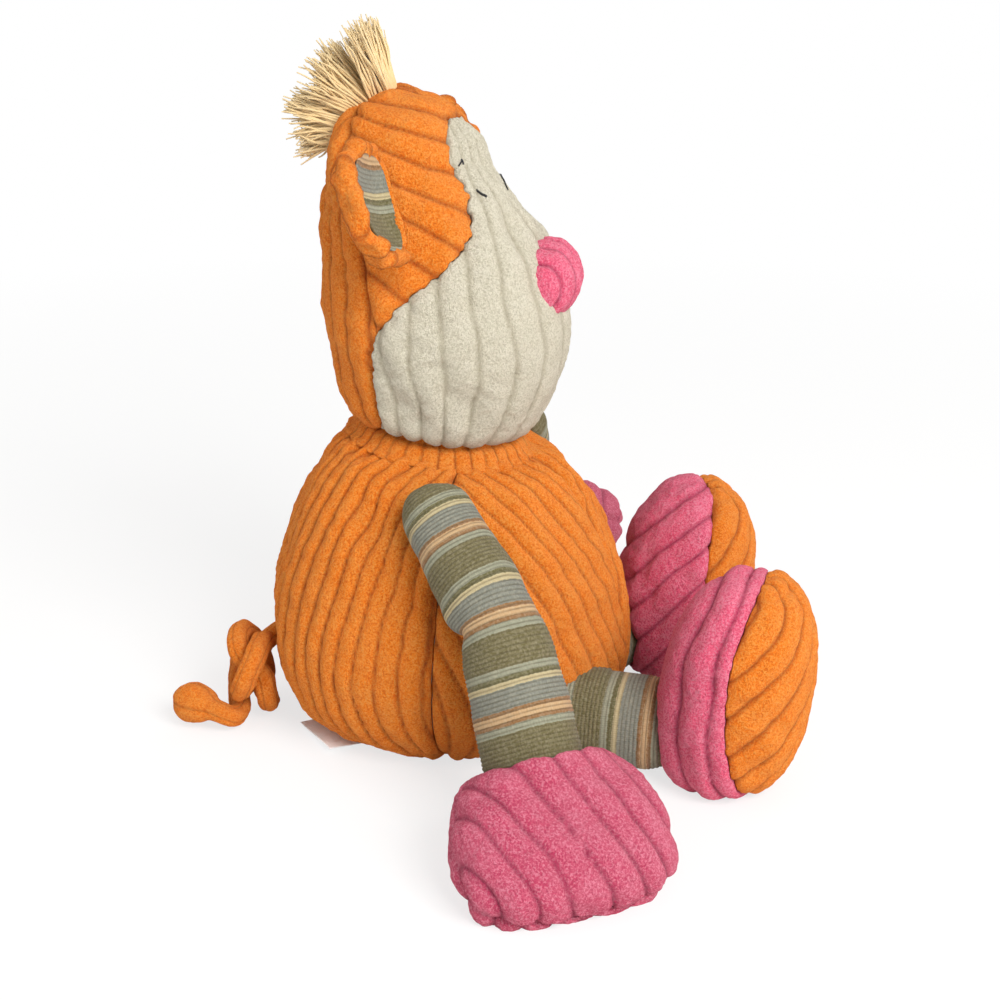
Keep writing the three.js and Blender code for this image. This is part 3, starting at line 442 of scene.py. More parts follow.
def panel(points, tris, fields, wales, pitch, depth, seed, thick=2.2, floor=False, **rolls):
    """One sewn panel of plush: the part of a form inside its seams, raised and backed."""
    normals = normals_of(points, tris)
    both = np.concatenate([points, normals], 1)
    for field in fields:
        both, tris = clipped(both, tris, field(both))
    points, normals = both[:, :3], unit(both[:, 3:])
    edge = np.min([field(both) for field in fields], axis=0)
    outer, shades = corded(points, normals, wales(points), np.maximum(edge, 0), pitch, depth, seed, **rolls)
    rolled = rolls.get("roll", ROLL) * np.clip(1 - edge / ROLL_WIDTH, 0, 1)[:, None] ** 2
    inner = points - normals * (thick + 0.5 * depth + rolled)
    if floor:
        outer[:, 2] = np.maximum(outer[:, 2], 0)
        inner[:, 2] = np.maximum(inner[:, 2], 0.8)
    count = len(points)
    closed, tris = backed(outer, inner, tris)
    return closed, tris, {key: np.concatenate([v, np.ones(count)]) for key, v in shades.items()}


# Materials
def srgb(code):
    """The three parts of a hex value, each from 0 to 1."""
    return tuple(int(code[i:i + 2], 16) / 255 for i in (1, 3, 5))


def linear(code):
    """A linear colour from an sRGB hex value."""
    return (*(c / 12.92 if c <= 0.04045 else ((c + 0.055) / 1.055) ** 2.4 for c in srgb(code)), 1.0)


def hex_of(colour):
    """The sRGB hex value of a colour property."""
    return "#" + "".join(f"{round(255 * c):02x}" for c in colour)


def add(tree, kind, inputs=None, **settings):
    """Adds one node with its settings and links. An input is a value or another node's socket."""
    made = tree.nodes.new(kind)
    for name, value in settings.items():
        setattr(made, name, value)
    for name, value in (inputs or {}).items():
        if isinstance(value, bpy.types.NodeSocket):
            tree.links.new(value, made.inputs[name])
        else:
            made.inputs[name].default_value = value
    return made


def fresh_material(name):
    """An empty material, its tree, and the place on the piece that its patterns read."""
    material = bpy.data.materials.new(name)
    material.use_nodes = True
    tree = material.node_tree
    tree.nodes.clear()
    return material, tree, add(tree, "ShaderNodeTexCoord").outputs["Object"]


FACTOR, FIRST, SECOND, MIXED = 0, 6, 7, 2  # a colour Mix node's sockets


def tinted(tree, body, code, value, low, high, to_low=0.0, to_high=1.0):
    """Lays a colour over the body, by a share that follows a value from low to high."""
    share = add(tree, "ShaderNodeMapRange", {
        "Value": value, "From Min": low, "From Max": high, "To Min": to_low, "To Max": to_high,
    })
    return add(tree, "ShaderNodeMix", {
        FACTOR: share.outputs["Result"], FIRST: body, SECOND: linear(code),
    }, data_type="RGBA").outputs[MIXED]


def cloth_shader(tree, body, bump, roughness, sheen, more=None):
    """Ends a cloth's tree in its matt surface and the material's output."""
    shader = add(tree, "ShaderNodeBsdfPrincipled", {
        "Base Color": body, "Roughness": roughness, "Normal": bump.outputs["Normal"], "Sheen Weight": sheen,
        **(more or {}),
    })
    add(tree, "ShaderNodeOutputMaterial", {"Surface": shader.outputs["BSDF"]})


# Noise scales of the pile, in bumps to the metre: patches of 10 mm, tufts of 0.85 mm and fibres of 0.4 mm.
# Real fibres, a few hundredths of a millimetre thick, are too fine to show, so these are drawn coarser.
NAP_SCALE, TUFT_SCALE, FIBRE_SCALE = 95.0, 1180.0, 2400.0


def plush(name, colour, shadow, deep, painted_sheen, sheen):
    """Plush corduroy, a brushed polyester pile: matt, with painted sheen in paler patches where the nap lies
    over and on the tips of tufts, and painted shade in the pits of the pile, in the grooves and along the
    seams.
    """
    material, tree, place = fresh_material(name)
    groove = add(tree, "ShaderNodeAttribute", attribute_name="groove").outputs["Fac"]
    nap = add(tree, "ShaderNodeTexNoise", {
        "Vector": place, "Scale": NAP_SCALE, "Detail": 4.0, "Roughness": 0.6,
    }).outputs["Fac"]
    tufts = add(tree, "ShaderNodeTexNoise", {
        "Vector": place, "Scale": TUFT_SCALE, "Detail": 2.0, "Roughness": 0.65, "Distortion": 0.5,
    }).outputs["Fac"]
    fibres = add(tree, "ShaderNodeTexNoise", {
        "Vector": place, "Scale": FIBRE_SCALE, "Detail": 2.0, "Roughness": 0.7,
    }).outputs["Fac"]
    # Painted sheen: paler patches of the pile where the nap lies over
    body = tinted(tree, linear(colour), painted_sheen, nap, 0.42, 0.72, 0.0, 0.4)
    # Painted sheen on the tips of the tufts, and painted shade in the pits between tufts and between fibres
    body = tinted(tree, body, painted_sheen, tufts, 0.48, 0.61, 0.0, 0.8)
    body = tinted(tree, body, deep, tufts, 0.36, 0.48, 0.6, 0.0)
    body = tinted(tree, body, deep, fibres, 0.38, 0.52, 0.3, 0.0)
    # Painted shade in the grooves of the wales and along the seams
    body = tinted(tree, body, shadow, groove, 0.4, 1.0, 0.0, 0.9)
    pile = add(tree, "ShaderNodeMath", {0: tufts, 1: fibres}, operation="ADD").outputs[0]
    bump = add(tree, "ShaderNodeBump", {"Height": pile, "Strength": 1.0, "Distance": 0.0014})
    cloth_shader(tree, body, bump, 0.92, 0.3, {
        "Sheen Roughness": 0.4, "Sheen Tint": linear(sheen), "Specular IOR Level": 0.2,
    })
    return material


STRIPES = [  # colour, and its share of one repeat
    ("olive", 0.34), ("ice", 0.085), ("moss", 0.053), ("cream", 0.064), ("slate", 0.213),
    ("brown", 0.043), ("peach", 0.074), ("brown", 0.043), ("ice", 0.085),
]
STRIPE_COLOURS = {
    "olive": "#625a3b", "ice": "#868672", "moss": "#595434", "cream": "#aa9b76",
    "slate": "#74756b", "brown": "#825d3a", "peach": "#b2916a",
}
LOOP_WIDTH = 0.95  # millimetres from one knit loop to the next along a rib
STRAY_SCALE, HEATHER_SCALE = 700.0, 900.0  # bumps to the metre, each about as wide as a loop


def knit(name, repeat, start):
    """Fine ribbed cotton knit in yarn-dyed stripes: matt, with each rib a row of small loops, and painted shade
    in the grooves between ribs and between loops.
    """
    material, tree, place = fresh_material(name)
    along, around, groove = (
        add(tree, "ShaderNodeAttribute", attribute_name=key).outputs["Fac"]
        for key in ("along", "around", "groove"))
    stray = add(tree, "ShaderNodeTexNoise", {"Vector": place, "Scale": STRAY_SCALE, "Detail": 2.0})
    aside = add(tree, "ShaderNodeMapRange", {
        "Value": stray.outputs["Fac"], "From Min": 0.3, "From Max": 0.7, "To Min": -0.16, "To Max": 0.16,
    })
    share = along
    aside = aside.outputs["Result"]
    for how, value in (("ADD", aside), ("ADD", -start), ("MULTIPLY", 1.0 / repeat), ("FRACT", 0.0)):
        share = add(tree, "ShaderNodeMath", {0: share, 1: value}, operation=how).outputs[0]
    ramp = add(tree, "ShaderNodeValToRGB", {"Fac": share})
    stops, at = ramp.color_ramp, 0.0
    stops.interpolation = "CONSTANT"
    for i, (tint, width) in enumerate(STRIPES):
        stop = stops.elements[0] if i == 0 else stops.elements.new(at)
        stop.position, stop.color = at, linear(STRIPE_COLOURS[tint])
        at += width
    stops.elements.remove(stops.elements[len(stops.elements) - 1])
    loops = around
    for how, value in (("MULTIPLY", 2 * math.pi / LOOP_WIDTH), ("SINE", 0.0)):
        loops = add(tree, "ShaderNodeMath", {0: loops, 1: value}, operation=how).outputs[0]
    heather = add(tree, "ShaderNodeTexNoise", {
        "Vector": place, "Scale": HEATHER_SCALE, "Detail": 3.0, "Roughness": 0.7,
    }).outputs["Fac"]
    body = tinted(tree, ramp.outputs["Color"], "#e6dcc0", heather, 0.4, 0.7, 0.0, 0.16)
    # Painted shade in the grooves between the ribs
    body = tinted(tree, body, "#4a4230", groove, 0.12, 0.8, 0.0, 0.55)
    # Painted shade in the gaps between the loops of a rib
    body = tinted(tree, body, "#3f3a2e", loops, -1.0, 0.2, 0.07, 0.0)
    bump = add(tree, "ShaderNodeBump", {"Height": loops, "Strength": 0.2, "Distance": 0.0003})
    bump = add(tree, "ShaderNodeBump", {
        "Height": heather, "Strength": 0.5, "Distance": 0.0005, "Normal": bump.outputs["Normal"],
    })
    cloth_shader(tree, body, bump, 0.9, 0.08, {"Sheen Roughness": 0.5, "Specular IOR Level": 0.15})
    return material


YARN_SCALE = 1400.0  # bumps to the metre: 0.7 mm, coarser than real fibres, which wouldn't show


def spun(name, colour, root, tip):
    """Brushed acrylic yarn: soft matt fibres, with painted shade and the orange cloth's painted reflected light
    at the root, and dusty at the tip.
    """
    material, tree, place = fresh_material(name)
    grown, strand = (
        add(tree, "ShaderNodeAttribute", attribute_name=key).outputs["Fac"] for key in ("grown", "strand"))
    fibres = add(tree, "ShaderNodeTexNoise", {
        "Vector": place, "Scale": YARN_SCALE, "Detail": 3.0, "Roughness": 0.7,
    }).outputs["Fac"]
    # Painted shade, tinted with the orange cloth's reflected light, at the roots of the threads
    body = tinted(tree, linear(root), colour, grown, 0.0, 0.3)
    body = tinted(tree, body, tip, grown, 0.65, 1.0, 0.0, 0.55)
    body = tinted(tree, body, "#dcb87c", strand, 0.0, 1.0, 0.0, 0.35)
    body = tinted(tree, body, "#f2dcae", fibres, 0.35, 0.7, 0.0, 0.3)
    bump = add(tree, "ShaderNodeBump", {"Height": fibres, "Strength": 0.6, "Distance": 0.0004})
    cloth_shader(tree, body, bump, 0.85, 0.35, {"Sheen Roughness": 0.4, "Specular IOR Level": 0.25})
    return material


def plain_cloth(name, colour, dark, scale, roughness, sheen=0.1):
    """A thin woven or felted cloth, faintly mottled, with its threads as a fine bump, scale to the metre."""
    material, tree, place = fresh_material(name)
    mottle = add(tree, "ShaderNodeTexNoise", {"Vector": place, "Scale": scale * 0.2, "Detail": 4.0})
    threads = add(tree, "ShaderNodeTexNoise", {
        "Vector": place, "Scale": scale, "Detail": 3.0, "Roughness": 0.7,
    }).outputs["Fac"]
    body = tinted(tree, linear(colour), dark, mottle.outputs["Fac"], 0.35, 0.7, 0.0, 0.5)
    body = tinted(tree, body, dark, threads, 0.4, 0.7, 0.0, 0.4)
    bump = add(tree, "ShaderNodeBump", {"Height": threads, "Strength": 0.5, "Distance": 0.0004})
    cloth_shader(tree, body, bump, roughness, sheen)
    return material


def colour_property(name, code, description):
    return FloatVectorProperty(
        name=name, description=description, subtype="COLOR_GAMMA", size=3, min=0, max=1, default=srgb(code))


def number_property(name, description, default, low, high, **more):
    return FloatProperty(name=name, description=description, default=default, min=low, max=high, **more)


class PlushSettings(bpy.types.PropertyGroup):
    orange: colour_property("Orange", "#ff8616", "Pile of the body, hood, ears, soles and tail")
    cream: colour_property("Cream", "#dbd4bd", "Pile of the face")
    pink: colour_property("Pink", "#ff6285", "Pile of the nose and insteps")
    # A darker copy of the pink plush, which paints shade on the mitts
    mitt_pink: colour_property("Mitt pink", "#d64a6c", "Pile of the mitts, painted darker than the rest as shade")
    wale_pitch: number_property("Wale pitch", "From one groove to the next, in millimetres", 9.4, 4, 20)
    wale_depth: number_property("Wale depth", "From groove to crown, in millimetres", 2.2, 0.2, 5)
    swell: number_property("Swell", "Most that stuffing pushes the cloth out, in millimetres", 2.4, 0, 10)


class KnitSettings(bpy.types.PropertyGroup):
    repeat: number_property("Stripe repeat", "Length of one run of the stripes, in millimetres", 36, 8, 100)
    rib_pitch: number_property("Rib pitch", "From one rib to the next, in millimetres", 1.65, 0.8, 5)
    rib_depth: number_property("Rib depth", "Height of a rib, in millimetres", 0.5, 0, 1)


class HairSettings(bpy.types.PropertyGroup):
    threads: IntProperty(name="Threads", description="Threads in the tuft", default=900, min=20, max=1500)
    thickness: number_property("Thread thickness", "Thickness of one thread, in millimetres", 1.0, 0.3, 3)
    length: number_property("Length", "Length of the longest thread, in millimetres", 34, 10, 80)


class StageSettings(bpy.types.PropertyGroup):
    floor: colour_property("Floor", "#f4f3f1", "Paper that the toy sits on")
    key: number_property("Key light", "Power of the large light, in watts", 22.5, 0, 500, subtype="POWER")
    fill: number_property("Fill light", "Power of the light behind, in watts", 2.8, 0, 500, subtype="POWER")


PLUSHES = {  # the material's name, its painted shade in the grooves, its painted shade deep in the pile, its painted sheen on lying nap and tuft tips, and the tint of its real sheen
    "orange": ("orange_plush_corduroy", "#a8400c", "#dc5a12", "#ffa84c", "#ffbd78"),
    "cream": ("cream_plush_corduroy", "#b0a68b", "#bcb298", "#f0e9d6", "#fff2dc"),
    "pink": ("pink_plush_corduroy", "#ae2450", "#d23862", "#ff9cb2", "#ffb6c2"),
    # The mitts' pink: the pink plush painted darker, as shade
    "mitt_pink": ("rubbed_pink_plush_corduroy", "#9c2248", "#c03458", "#f092a6", "#f4b0bc"),
}


def dyed(colour):
    """The plush corduroy of one colour, made only once."""
    name, *tints = PLUSHES[colour]
    made = bpy.data.materials.get(name)
    return made or plush(name, hex_of(getattr(bpy.context.scene.monkey_plush, colour)), *tints)


def filling():
    name = "polyester_fibre_filling"
    return bpy.data.materials.get(name) or plain_cloth(name, "#f4f2ec", "#d9d6cc", 600.0, 0.95)


def ruffled(points, tris):
    """Gathers the cloth into small folds where it draws in to the neck."""
    h, r = neck_polar(points)
    away = points - NECK
    turn = np.arctan2(away[:, 1], away @ NECK_AHEAD)
    near = np.exp(-(np.maximum(r - 34, 0) / 9) ** 2) * (h > -24)
    folds = np.sin(23 * turn + 1.6 * np.sin(3 * turn) + 0.05 * r) + 0.5 * np.sin(37 * turn + 2)
    return points + normals_of(points, tris) * (near * folds)[:, None], tris


PRESSED_IN = 1.4  # how far the body gives way where a foot or the tail lies on it


class MONKEY_OT_body(bpy.types.Operator):
    """Sews the five panels of the pear-shaped body"""

    bl_idname = "monkey.body"
    bl_label = "Body panels"

    def execute(self, context):
        plush_set = context.scene.monkey_plush
        pitch, depth = plush_set.wale_pitch, plush_set.wale_depth

        hips = {side: turning_point(f"{side}_hip_spread") for side, _ in SIDES}

        def pinned(points):
            seams = np.minimum.reduce([
                np.abs(points[:, 0] - SIDE_SEAM), np.abs(points[:, 1]), np.abs(round_seat(points)),
                np.abs(under_neck(points)), np.abs(from_point(points, TAIL_ROOT, TAIL_OPENING)),
                *(np.abs(from_point(points, hip, HIP_OPENING)) for hip in hips.values()),
            ])
            kept = (points[:, 2] < 2) | (under_neck(points) < 3) | (from_point(points, TAIL_ROOT, 36) < 0)
            for side, _ in SIDES:
                kept |= from_point(points, turning_point(f"{side}_ankle_bend"), 54) < 0
            return np.maximum(ease(-seams, -3.4, -1.2), kept)

        count, columns = 250, 420
        moved = swelling(body_rows, (62, 104), pinned, plush_set.swell)
        form = ruffled(*skin_of(body_rows(count, columns) + spread(moved, count, columns)))
        near_foot = ease(-from_point(form[0], turning_point("left_ankle_bend"), 0), -56, -30)
        near_tail = ease(-from_point(form[0], TAIL_ROOT + [0, -18, -4], 0), -42, -26)
        form[0][:] -= normals_of(*form) * (PRESSED_IN * np.maximum(near_foot, near_tail))[:, None]
        material = dyed("orange")

        def outside_seat(p):
            return round_seat(p) - NEEDLE_GAP

        for side, sign in SIDES:
            back = panel(*form, [
                lambda p: SIDE_SEAM - NEEDLE_GAP - p[:, 0], on_side(sign), outside_seat, outside_gathers,
                hole(TAIL_ROOT, TAIL_OPENING),
            ], back_wales, pitch, depth, 11, floor=True)
            sewn(f"back_{side}", back, material, "torso", "orange_plush", f"back_panel_{side}")
            belly = panel(*form, [
                lambda p: p[:, 0] - SIDE_SEAM - NEEDLE_GAP, on_side(sign), outside_seat, outside_gathers,
                hole(hips[side], HIP_OPENING),
            ], belly_wales, 1.04 * pitch, 0.85 * depth, 21, floor=True)
            sewn(f"belly_{side}", belly, material, "torso", "orange_plush", f"belly_panel_{side}")
        seat = panel(*form, [
            lambda p: -round_seat(p) - NEEDLE_GAP,
            hole(hips["left"], HIP_OPENING), hole(hips["right"], HIP_OPENING),
        ], seat_wales, pitch, 0.7 * depth, 31, floor=True)
        sewn("seat", seat, material, "torso", "orange_plush", "seat_panel")
        return {"FINISHED"}


FILLING_DEPTH = 5.6  # from the outside of the cloth to the filling


class MONKEY_OT_filling(bpy.types.Operator):
    """Fills the body and the head, and puts the pellet bag in the seat"""

    bl_idname = "monkey.filling"
    bl_label = "Filling"

    def execute(self, context):
        for part, body, rows, seed in (
            ("body", "torso", body_rows(70, 110, FILLING_DEPTH), 5),
            ("head", "head", head_rows(60, 100, FILLING_DEPTH), 6),
        ):
            points, tris = skin_of(rows)
            points += normals_of(points, tris) * (0.5 * ripple(points, 7, seed) - 0.4)[:, None]
            sewn(f"{part}_filling", (points, tris, None), filling(), body, "filling", f"{part}_stuffing")
        line = evenly(through([(6.2, 2), (6, 22), (7.5, 31), (16, 34), (25, 30), (30, 18), (31, 2)], 10), 36)
        zero = np.zeros(len(line))
        bag = rings(np.stack([zero, zero, line[:, 0]], 1), np.stack([line[:, 1], zero, zero], 1),
                    np.stack([zero, line[:, 1], zero], 1), 90)
        points, tris = skin_of(bag)
        points += normals_of(points, tris) * (0.35 * ripple(points, 3, 7))[:, None]
        cloth = plain_cloth("pellet_bag_muslin", "#e9e4d6", "#cfc8b4", 900.0, 0.9)
        sewn("pellet_pouch", (points, tris, None), cloth, "torso", "pellet_bag", "pellet_bag", fill=0.5)
        return {"FINISHED"}


GATHER_LINE = [  # height along the neck's axis, and radius
    (-26, 3), (-22, 16), (-16, 26), (-10, 31), (-7.2, 35), (-5.9, 39.2), (-4.9, 40), (-3.9, 38.9),
    (-2.6, 37.2), (-0.6, 35.8), (1.0, 34.4), (1.9, 32.8), (2.4, 31.4), (6, 31), (14, 27.5), (21, 19), (25, 4),
]
GATHER_WIDTH, GATHER_GIRTH, GATHERS = 0.94, 37, 34


class MONKEY_OT_neck(bpy.types.Operator):
    """Gathers the cloth between body and head"""

    bl_idname = "monkey.neck"
    bl_label = "Neck gathers"

    def execute(self, context):
        height, radius = evenly(through(GATHER_LINE, 12), 110).T
        zero = np.zeros(110)
        centres = NECK + height[:, None] * NECK_AXIS + NECK_AHEAD
        sideways = np.stack([zero, GATHER_WIDTH * radius, zero], 1)
        points, tris = skin_of(rings(centres, radius[:, None] * NECK_AHEAD, sideways, 300))
        away = points - NECK
        u = np.arctan2(away[:, 1], away @ NECK_AHEAD) * GATHER_GIRTH
        pitch = 2 * np.pi * GATHER_GIRTH / GATHERS
        outer, shades = corded(points, normals_of(points, tris), u, None, pitch, 1.0, 41)
        piece = made_piece("neck_gathers", outer, tris, shades, dyed("orange"))
        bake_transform(piece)
        seated(piece, None, "orange_plush", "neck_stuffing", fill=0.7)
        return {"FINISHED"}


# Head: three panels of the hood, and the face
HEAD_LINE = through(HEAD_LEVELS, 24)
HEAD_LINE = np.concatenate([
    [(-11.5, 4, 8, 5), (-11, 14, 17, 14)], HEAD_LINE, [(139.6, 19, -9, 6), (140.2, 15.5, -12, 2)],
])
BORDER_LINE = through(FACE_BORDER, 24)[::-1]


def head_rows(count, columns, inset=0.0):
    line = evenly(HEAD_LINE, count, weights=np.array([1, 0.6, 0.6, 0.4]))
    h, back, front, side = line.T
    middle = 64.5
    z = middle + (h - middle) * (1 - 2 * inset / 147)
    zero = np.zeros(count)
    half = np.maximum((front + back) / 2 - inset, 0.8)
    return kept_off_neck(rings(
        np.stack([NECK[0] + (front - back) / 2, zero, NECK[2] + z], 1), np.stack([half, zero, zero], 1),
        np.stack([zero, np.maximum(side - inset, 0.8), zero], 1), columns,
    ), 1, HEAD_CONE, inset, 5)


def over_neck(points):
    h, r = neck_polar(points)
    return h * math.cos(HEAD_CONE) - r * math.sin(HEAD_CONE)


def on_head(points):
    """How far ahead of the neck, to the side, and above it."""
    return points[:, 0] - NECK[0], points[:, 1], points[:, 2] - NECK[2]


def ahead_of_border(points):
    """How far forward of the face's edge, as seen from the side."""
    x, _, h = on_head(points)
    edge = np.interp(h, BORDER_LINE[:, 1], BORDER_LINE[:, 0])
    slope = np.interp(h, BORDER_LINE[:, 1], np.gradient(BORDER_LINE[:, 0], BORDER_LINE[:, 1]))
    return (x - edge) / np.sqrt(1 + slope**2)


def behind_back_seam(points):
    x, _, h = on_head(points)
    return -((x + BACK_SEAM_SET) * math.cos(BACK_SEAM_LEAN) + (h - 74) * math.sin(BACK_SEAM_LEAN))


def head_back_wales(points):
    x, y, _ = on_head(points)
    return np.arctan2(y, 6 - x) * 44


def crown_wales(points):
    x, y, h = on_head(points)
    down, ahead = 140 - h + 0.3 * np.abs(y), x + 42
    return np.arctan2(down, ahead) * 47 * (np.hypot(down, ahead) / 55) ** 0.5


def face_wales(points):
    x, y, _ = on_head(points)
    return np.arctan2(y, x + 4) * 47 + 4.7


def ear_root_distance(points, sign):
    """How far from the line along which an ear is sewn on, where its seam draws the hood in."""
    matrix = ear_matrix(sign)
    rel = points - matrix[:3, 3]
    along = np.clip(rel @ matrix[:3, 2], -17, 17)
    return np.linalg.norm(rel - along[:, None] * matrix[:3, 2], axis=1)


EAR_DIMPLE = 3.0  # how far an ear's seam draws the hood in


class MONKEY_OT_head(bpy.types.Operator):
    """Sews the hood and the cream face"""

    bl_idname = "monkey.head"
    bl_label = "Head panels"

    def execute(self, context):
        plush_set = context.scene.monkey_plush
        pitch, depth = plush_set.wale_pitch, plush_set.wale_depth

        def pinned(points):
            border, back_seam = ahead_of_border(points), behind_back_seam(points)
            seams = np.minimum.reduce([
                np.abs(border), np.abs(over_neck(points)), np.where(border > 0, FAR, np.abs(back_seam)),
                np.where((back_seam < 0) & (border < 0), np.abs(points[:, 1]), FAR),
            ])
            return np.maximum(ease(-seams, -3.4, -1.2), over_neck(points) < 3)

        count, columns = 230, 300
        moved = swelling(head_rows, (56, 74), pinned, 0.75 * plush_set.swell)
        form = skin_of(head_rows(count, columns) + spread(moved, count, columns))
        for _, sign in SIDES:
            drawn_in = EAR_DIMPLE * np.clip(1 - (ear_root_distance(form[0], sign) / 22) ** 3, 0, 1)
            form[0][:] -= normals_of(*form) * drawn_in[:, None]

        def face_edge(p):
            return ahead_of_border(p) + ragged(p) - NEEDLE_GAP

        def hood_edge(p):
            return -ahead_of_border(p) - ragged(p) - NEEDLE_GAP

        face = panel(*form, [face_edge, outside_gathers], face_wales,
                     1.3 * pitch, 0.8 * depth, 51, roll=0.9, roll_width=4)
        sewn("face", face, dyed("cream"), "head", "cream_plush", "face_panel")
        material = dyed("orange")
        back = panel(*form, [
            lambda p: behind_back_seam(p) - NEEDLE_GAP, hood_edge, outside_gathers,
        ], head_back_wales, 1.05 * pitch, depth, 61, roll=1.5)
        sewn("hood_back", back, material, "head", "orange_plush", "head_back_panel")
        for side, sign in SIDES:
            crown = panel(*form, [
                lambda p: -behind_back_seam(p) - NEEDLE_GAP, on_side(sign), hood_edge, outside_gathers,
            ], crown_wales, 1.08 * pitch, depth, 71, roll=1.1, roll_width=4)
            sewn(f"hood_{side}", crown, material, "head", "orange_plush", f"crown_panel_{side}")
        return {"FINISHED"}


NOSE_DEEP, NOSE_WIDE, NOSE_HIGH = 13, 18.5, 15.5  # half sizes


class MONKEY_OT_nose(bpy.types.Operator):
    """Stuffs the round pink nose"""

    bl_idname = "monkey.nose"
    bl_label = "Nose"

    def execute(self, context):
        low, high = (np.array(corner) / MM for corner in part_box("nose"))
        centre = np.array([high[0] - NOSE_DEEP, 0, (low[2] + high[2]) / 2])
        tilt = np.linspace(-np.pi / 2 + 0.03, np.pi / 2 - 0.03, 90)
        zero = np.zeros(90)
        points, tris = skin_of(rings(
            centre + np.stack([zero, zero, NOSE_HIGH * np.sin(tilt)], 1),
            np.stack([NOSE_DEEP * np.cos(tilt), zero, zero], 1),
            np.stack([zero, NOSE_WIDE * np.cos(tilt), zero], 1), 150, power=2.2,
        ))
        u = points[:, 1] * 0.9 + 0.012 * (points[:, 2] - centre[2]) ** 2 + 3.4
        outer, shades = corded(points, normals_of(points, tris), u, None, 8.6, 1.9, 81)
        sewn("nose_plush", (outer, tris, shades), dyed("pink"), "head", "pink_plush", "nose")
        return {"FINISHED"}


# Limbs and tail: tubes swept along a line
def swept(line, radii, columns, first):
    """Rings across a line, which don't twist about it."""
    ways = unit(np.gradient(line, axis=0))
    u = unit(first - (first @ ways[0]) * ways[0])
    us = []
    for way in ways:
        u = unit(u - (u @ way) * way)
        us.append(u)
    us = np.array(us)
    vs = np.cross(ways, us)
    return rings(line, us * radii[:, None], vs * radii[:, None], columns)


END_POINTS, BEND_POINTS = 24, 30


def ball_ended(start, middle, end, start_radius, middle_radius, end_radius, swell, count, bend=14.0):
    """The line and radii of a tube with a round end at each end, bent softly at its middle."""
    first, second = unit(middle - start), unit(end - middle)
    way_in, way_out = middle - first * bend, middle + second * bend
    t = np.linspace(0, 1, BEND_POINTS)[:, None]
    turn = way_in * (1 - t) ** 2 + 2 * middle * t * (1 - t) + way_out * t**2
    a = np.linspace(0, np.pi / 2 * 0.97, END_POINTS)
    head = start - first * (start_radius * np.cos(a))[:, None]
    tail = end + second * (end_radius * np.sin(a))[:, None]
    line = np.concatenate([head, turn, tail])
    along = np.concatenate([[0], np.cumsum(np.linalg.norm(np.diff(line, axis=0), axis=1))])
    last = END_POINTS - 1
    s0, sm, s1 = along[last], along[last + BEND_POINTS // 2], along[last + BEND_POINTS + 1]
    radii = np.where(
        along < sm, np.interp(along, [s0, sm], [start_radius, middle_radius]),
        np.interp(along, [sm, s1], [middle_radius, end_radius]))
    part = np.where(along < sm, (along - s0) / (sm - s0), (along - sm) / (s1 - sm))
    radii = radii + swell * np.sin(np.pi * np.clip(part, 0, 1)) ** 2
    radii[:END_POINTS] = start_radius * np.sin(a)
    radii[-END_POINTS:] = end_radius * np.cos(a)
    places = np.linspace(0, along[-1], count)
    fine = np.stack([np.interp(places, along, line[:, k]) for k in range(3)], 1)
    return fine, np.maximum(np.interp(places, along, radii), 0.5), places, (s0, sm, s1)


def ribbed(rows, places, radius, rib_pitch, rib_depth, seed, fold=0.5):
    """Raises fine ribs round a tube and softens it with slack. Gives points, triangles and shades."""
    count, columns = rows.shape[:2]
    points, tris = skin_of(rows)
    normals = normals_of(points, tris)
    along = np.concatenate([np.repeat(places, columns), [places[0], places[-1]]])
    around = np.concatenate([np.tile(2 * np.pi * radius * np.arange(columns) / columns, count), [0, 0]])
    along = along + 0.5 * ripple(points, 22, seed)
    rib = np.abs(np.sin(np.pi * along / rib_pitch)) ** 0.7
    rise = rib_depth * (rib - 0.5) + fold * ripple(points, 14, seed + 1) + 0.2 * ripple(points, 5, seed + 2)
    # groove marks where the knit paints shade between the ribs
    return points + normals * rise[:, None], tris, {"groove": 1 - rib, "along": along, "around": around}


SWING_BACK, SWING_FORTH = 28, 100  # degrees that an arm swings each way
SWING_RINGS, SWING_RING, SWING_SLICE = 66, 2.0, 6  # rings about the shoulder, their width, degrees to a slice
SHOULDER_ROOM, SHOULDER_ROUND = 0.5, 2.4


def beside(rows, reach):
    """The rows as they are and as their neighbours within reach have them."""
    wide = np.pad(rows, ((reach, reach), (0, 0)), mode="edge")
    return [wide[k:k + len(rows)] for k in range(2 * reach + 1)]


def held_within(points, centre, reach, which):
    """Draws the chosen points in to a ball."""
    away = points - centre
    share = np.minimum(1, reach / np.linalg.norm(away, axis=1))
    points[which] = (centre + away * share[:, None])[which]


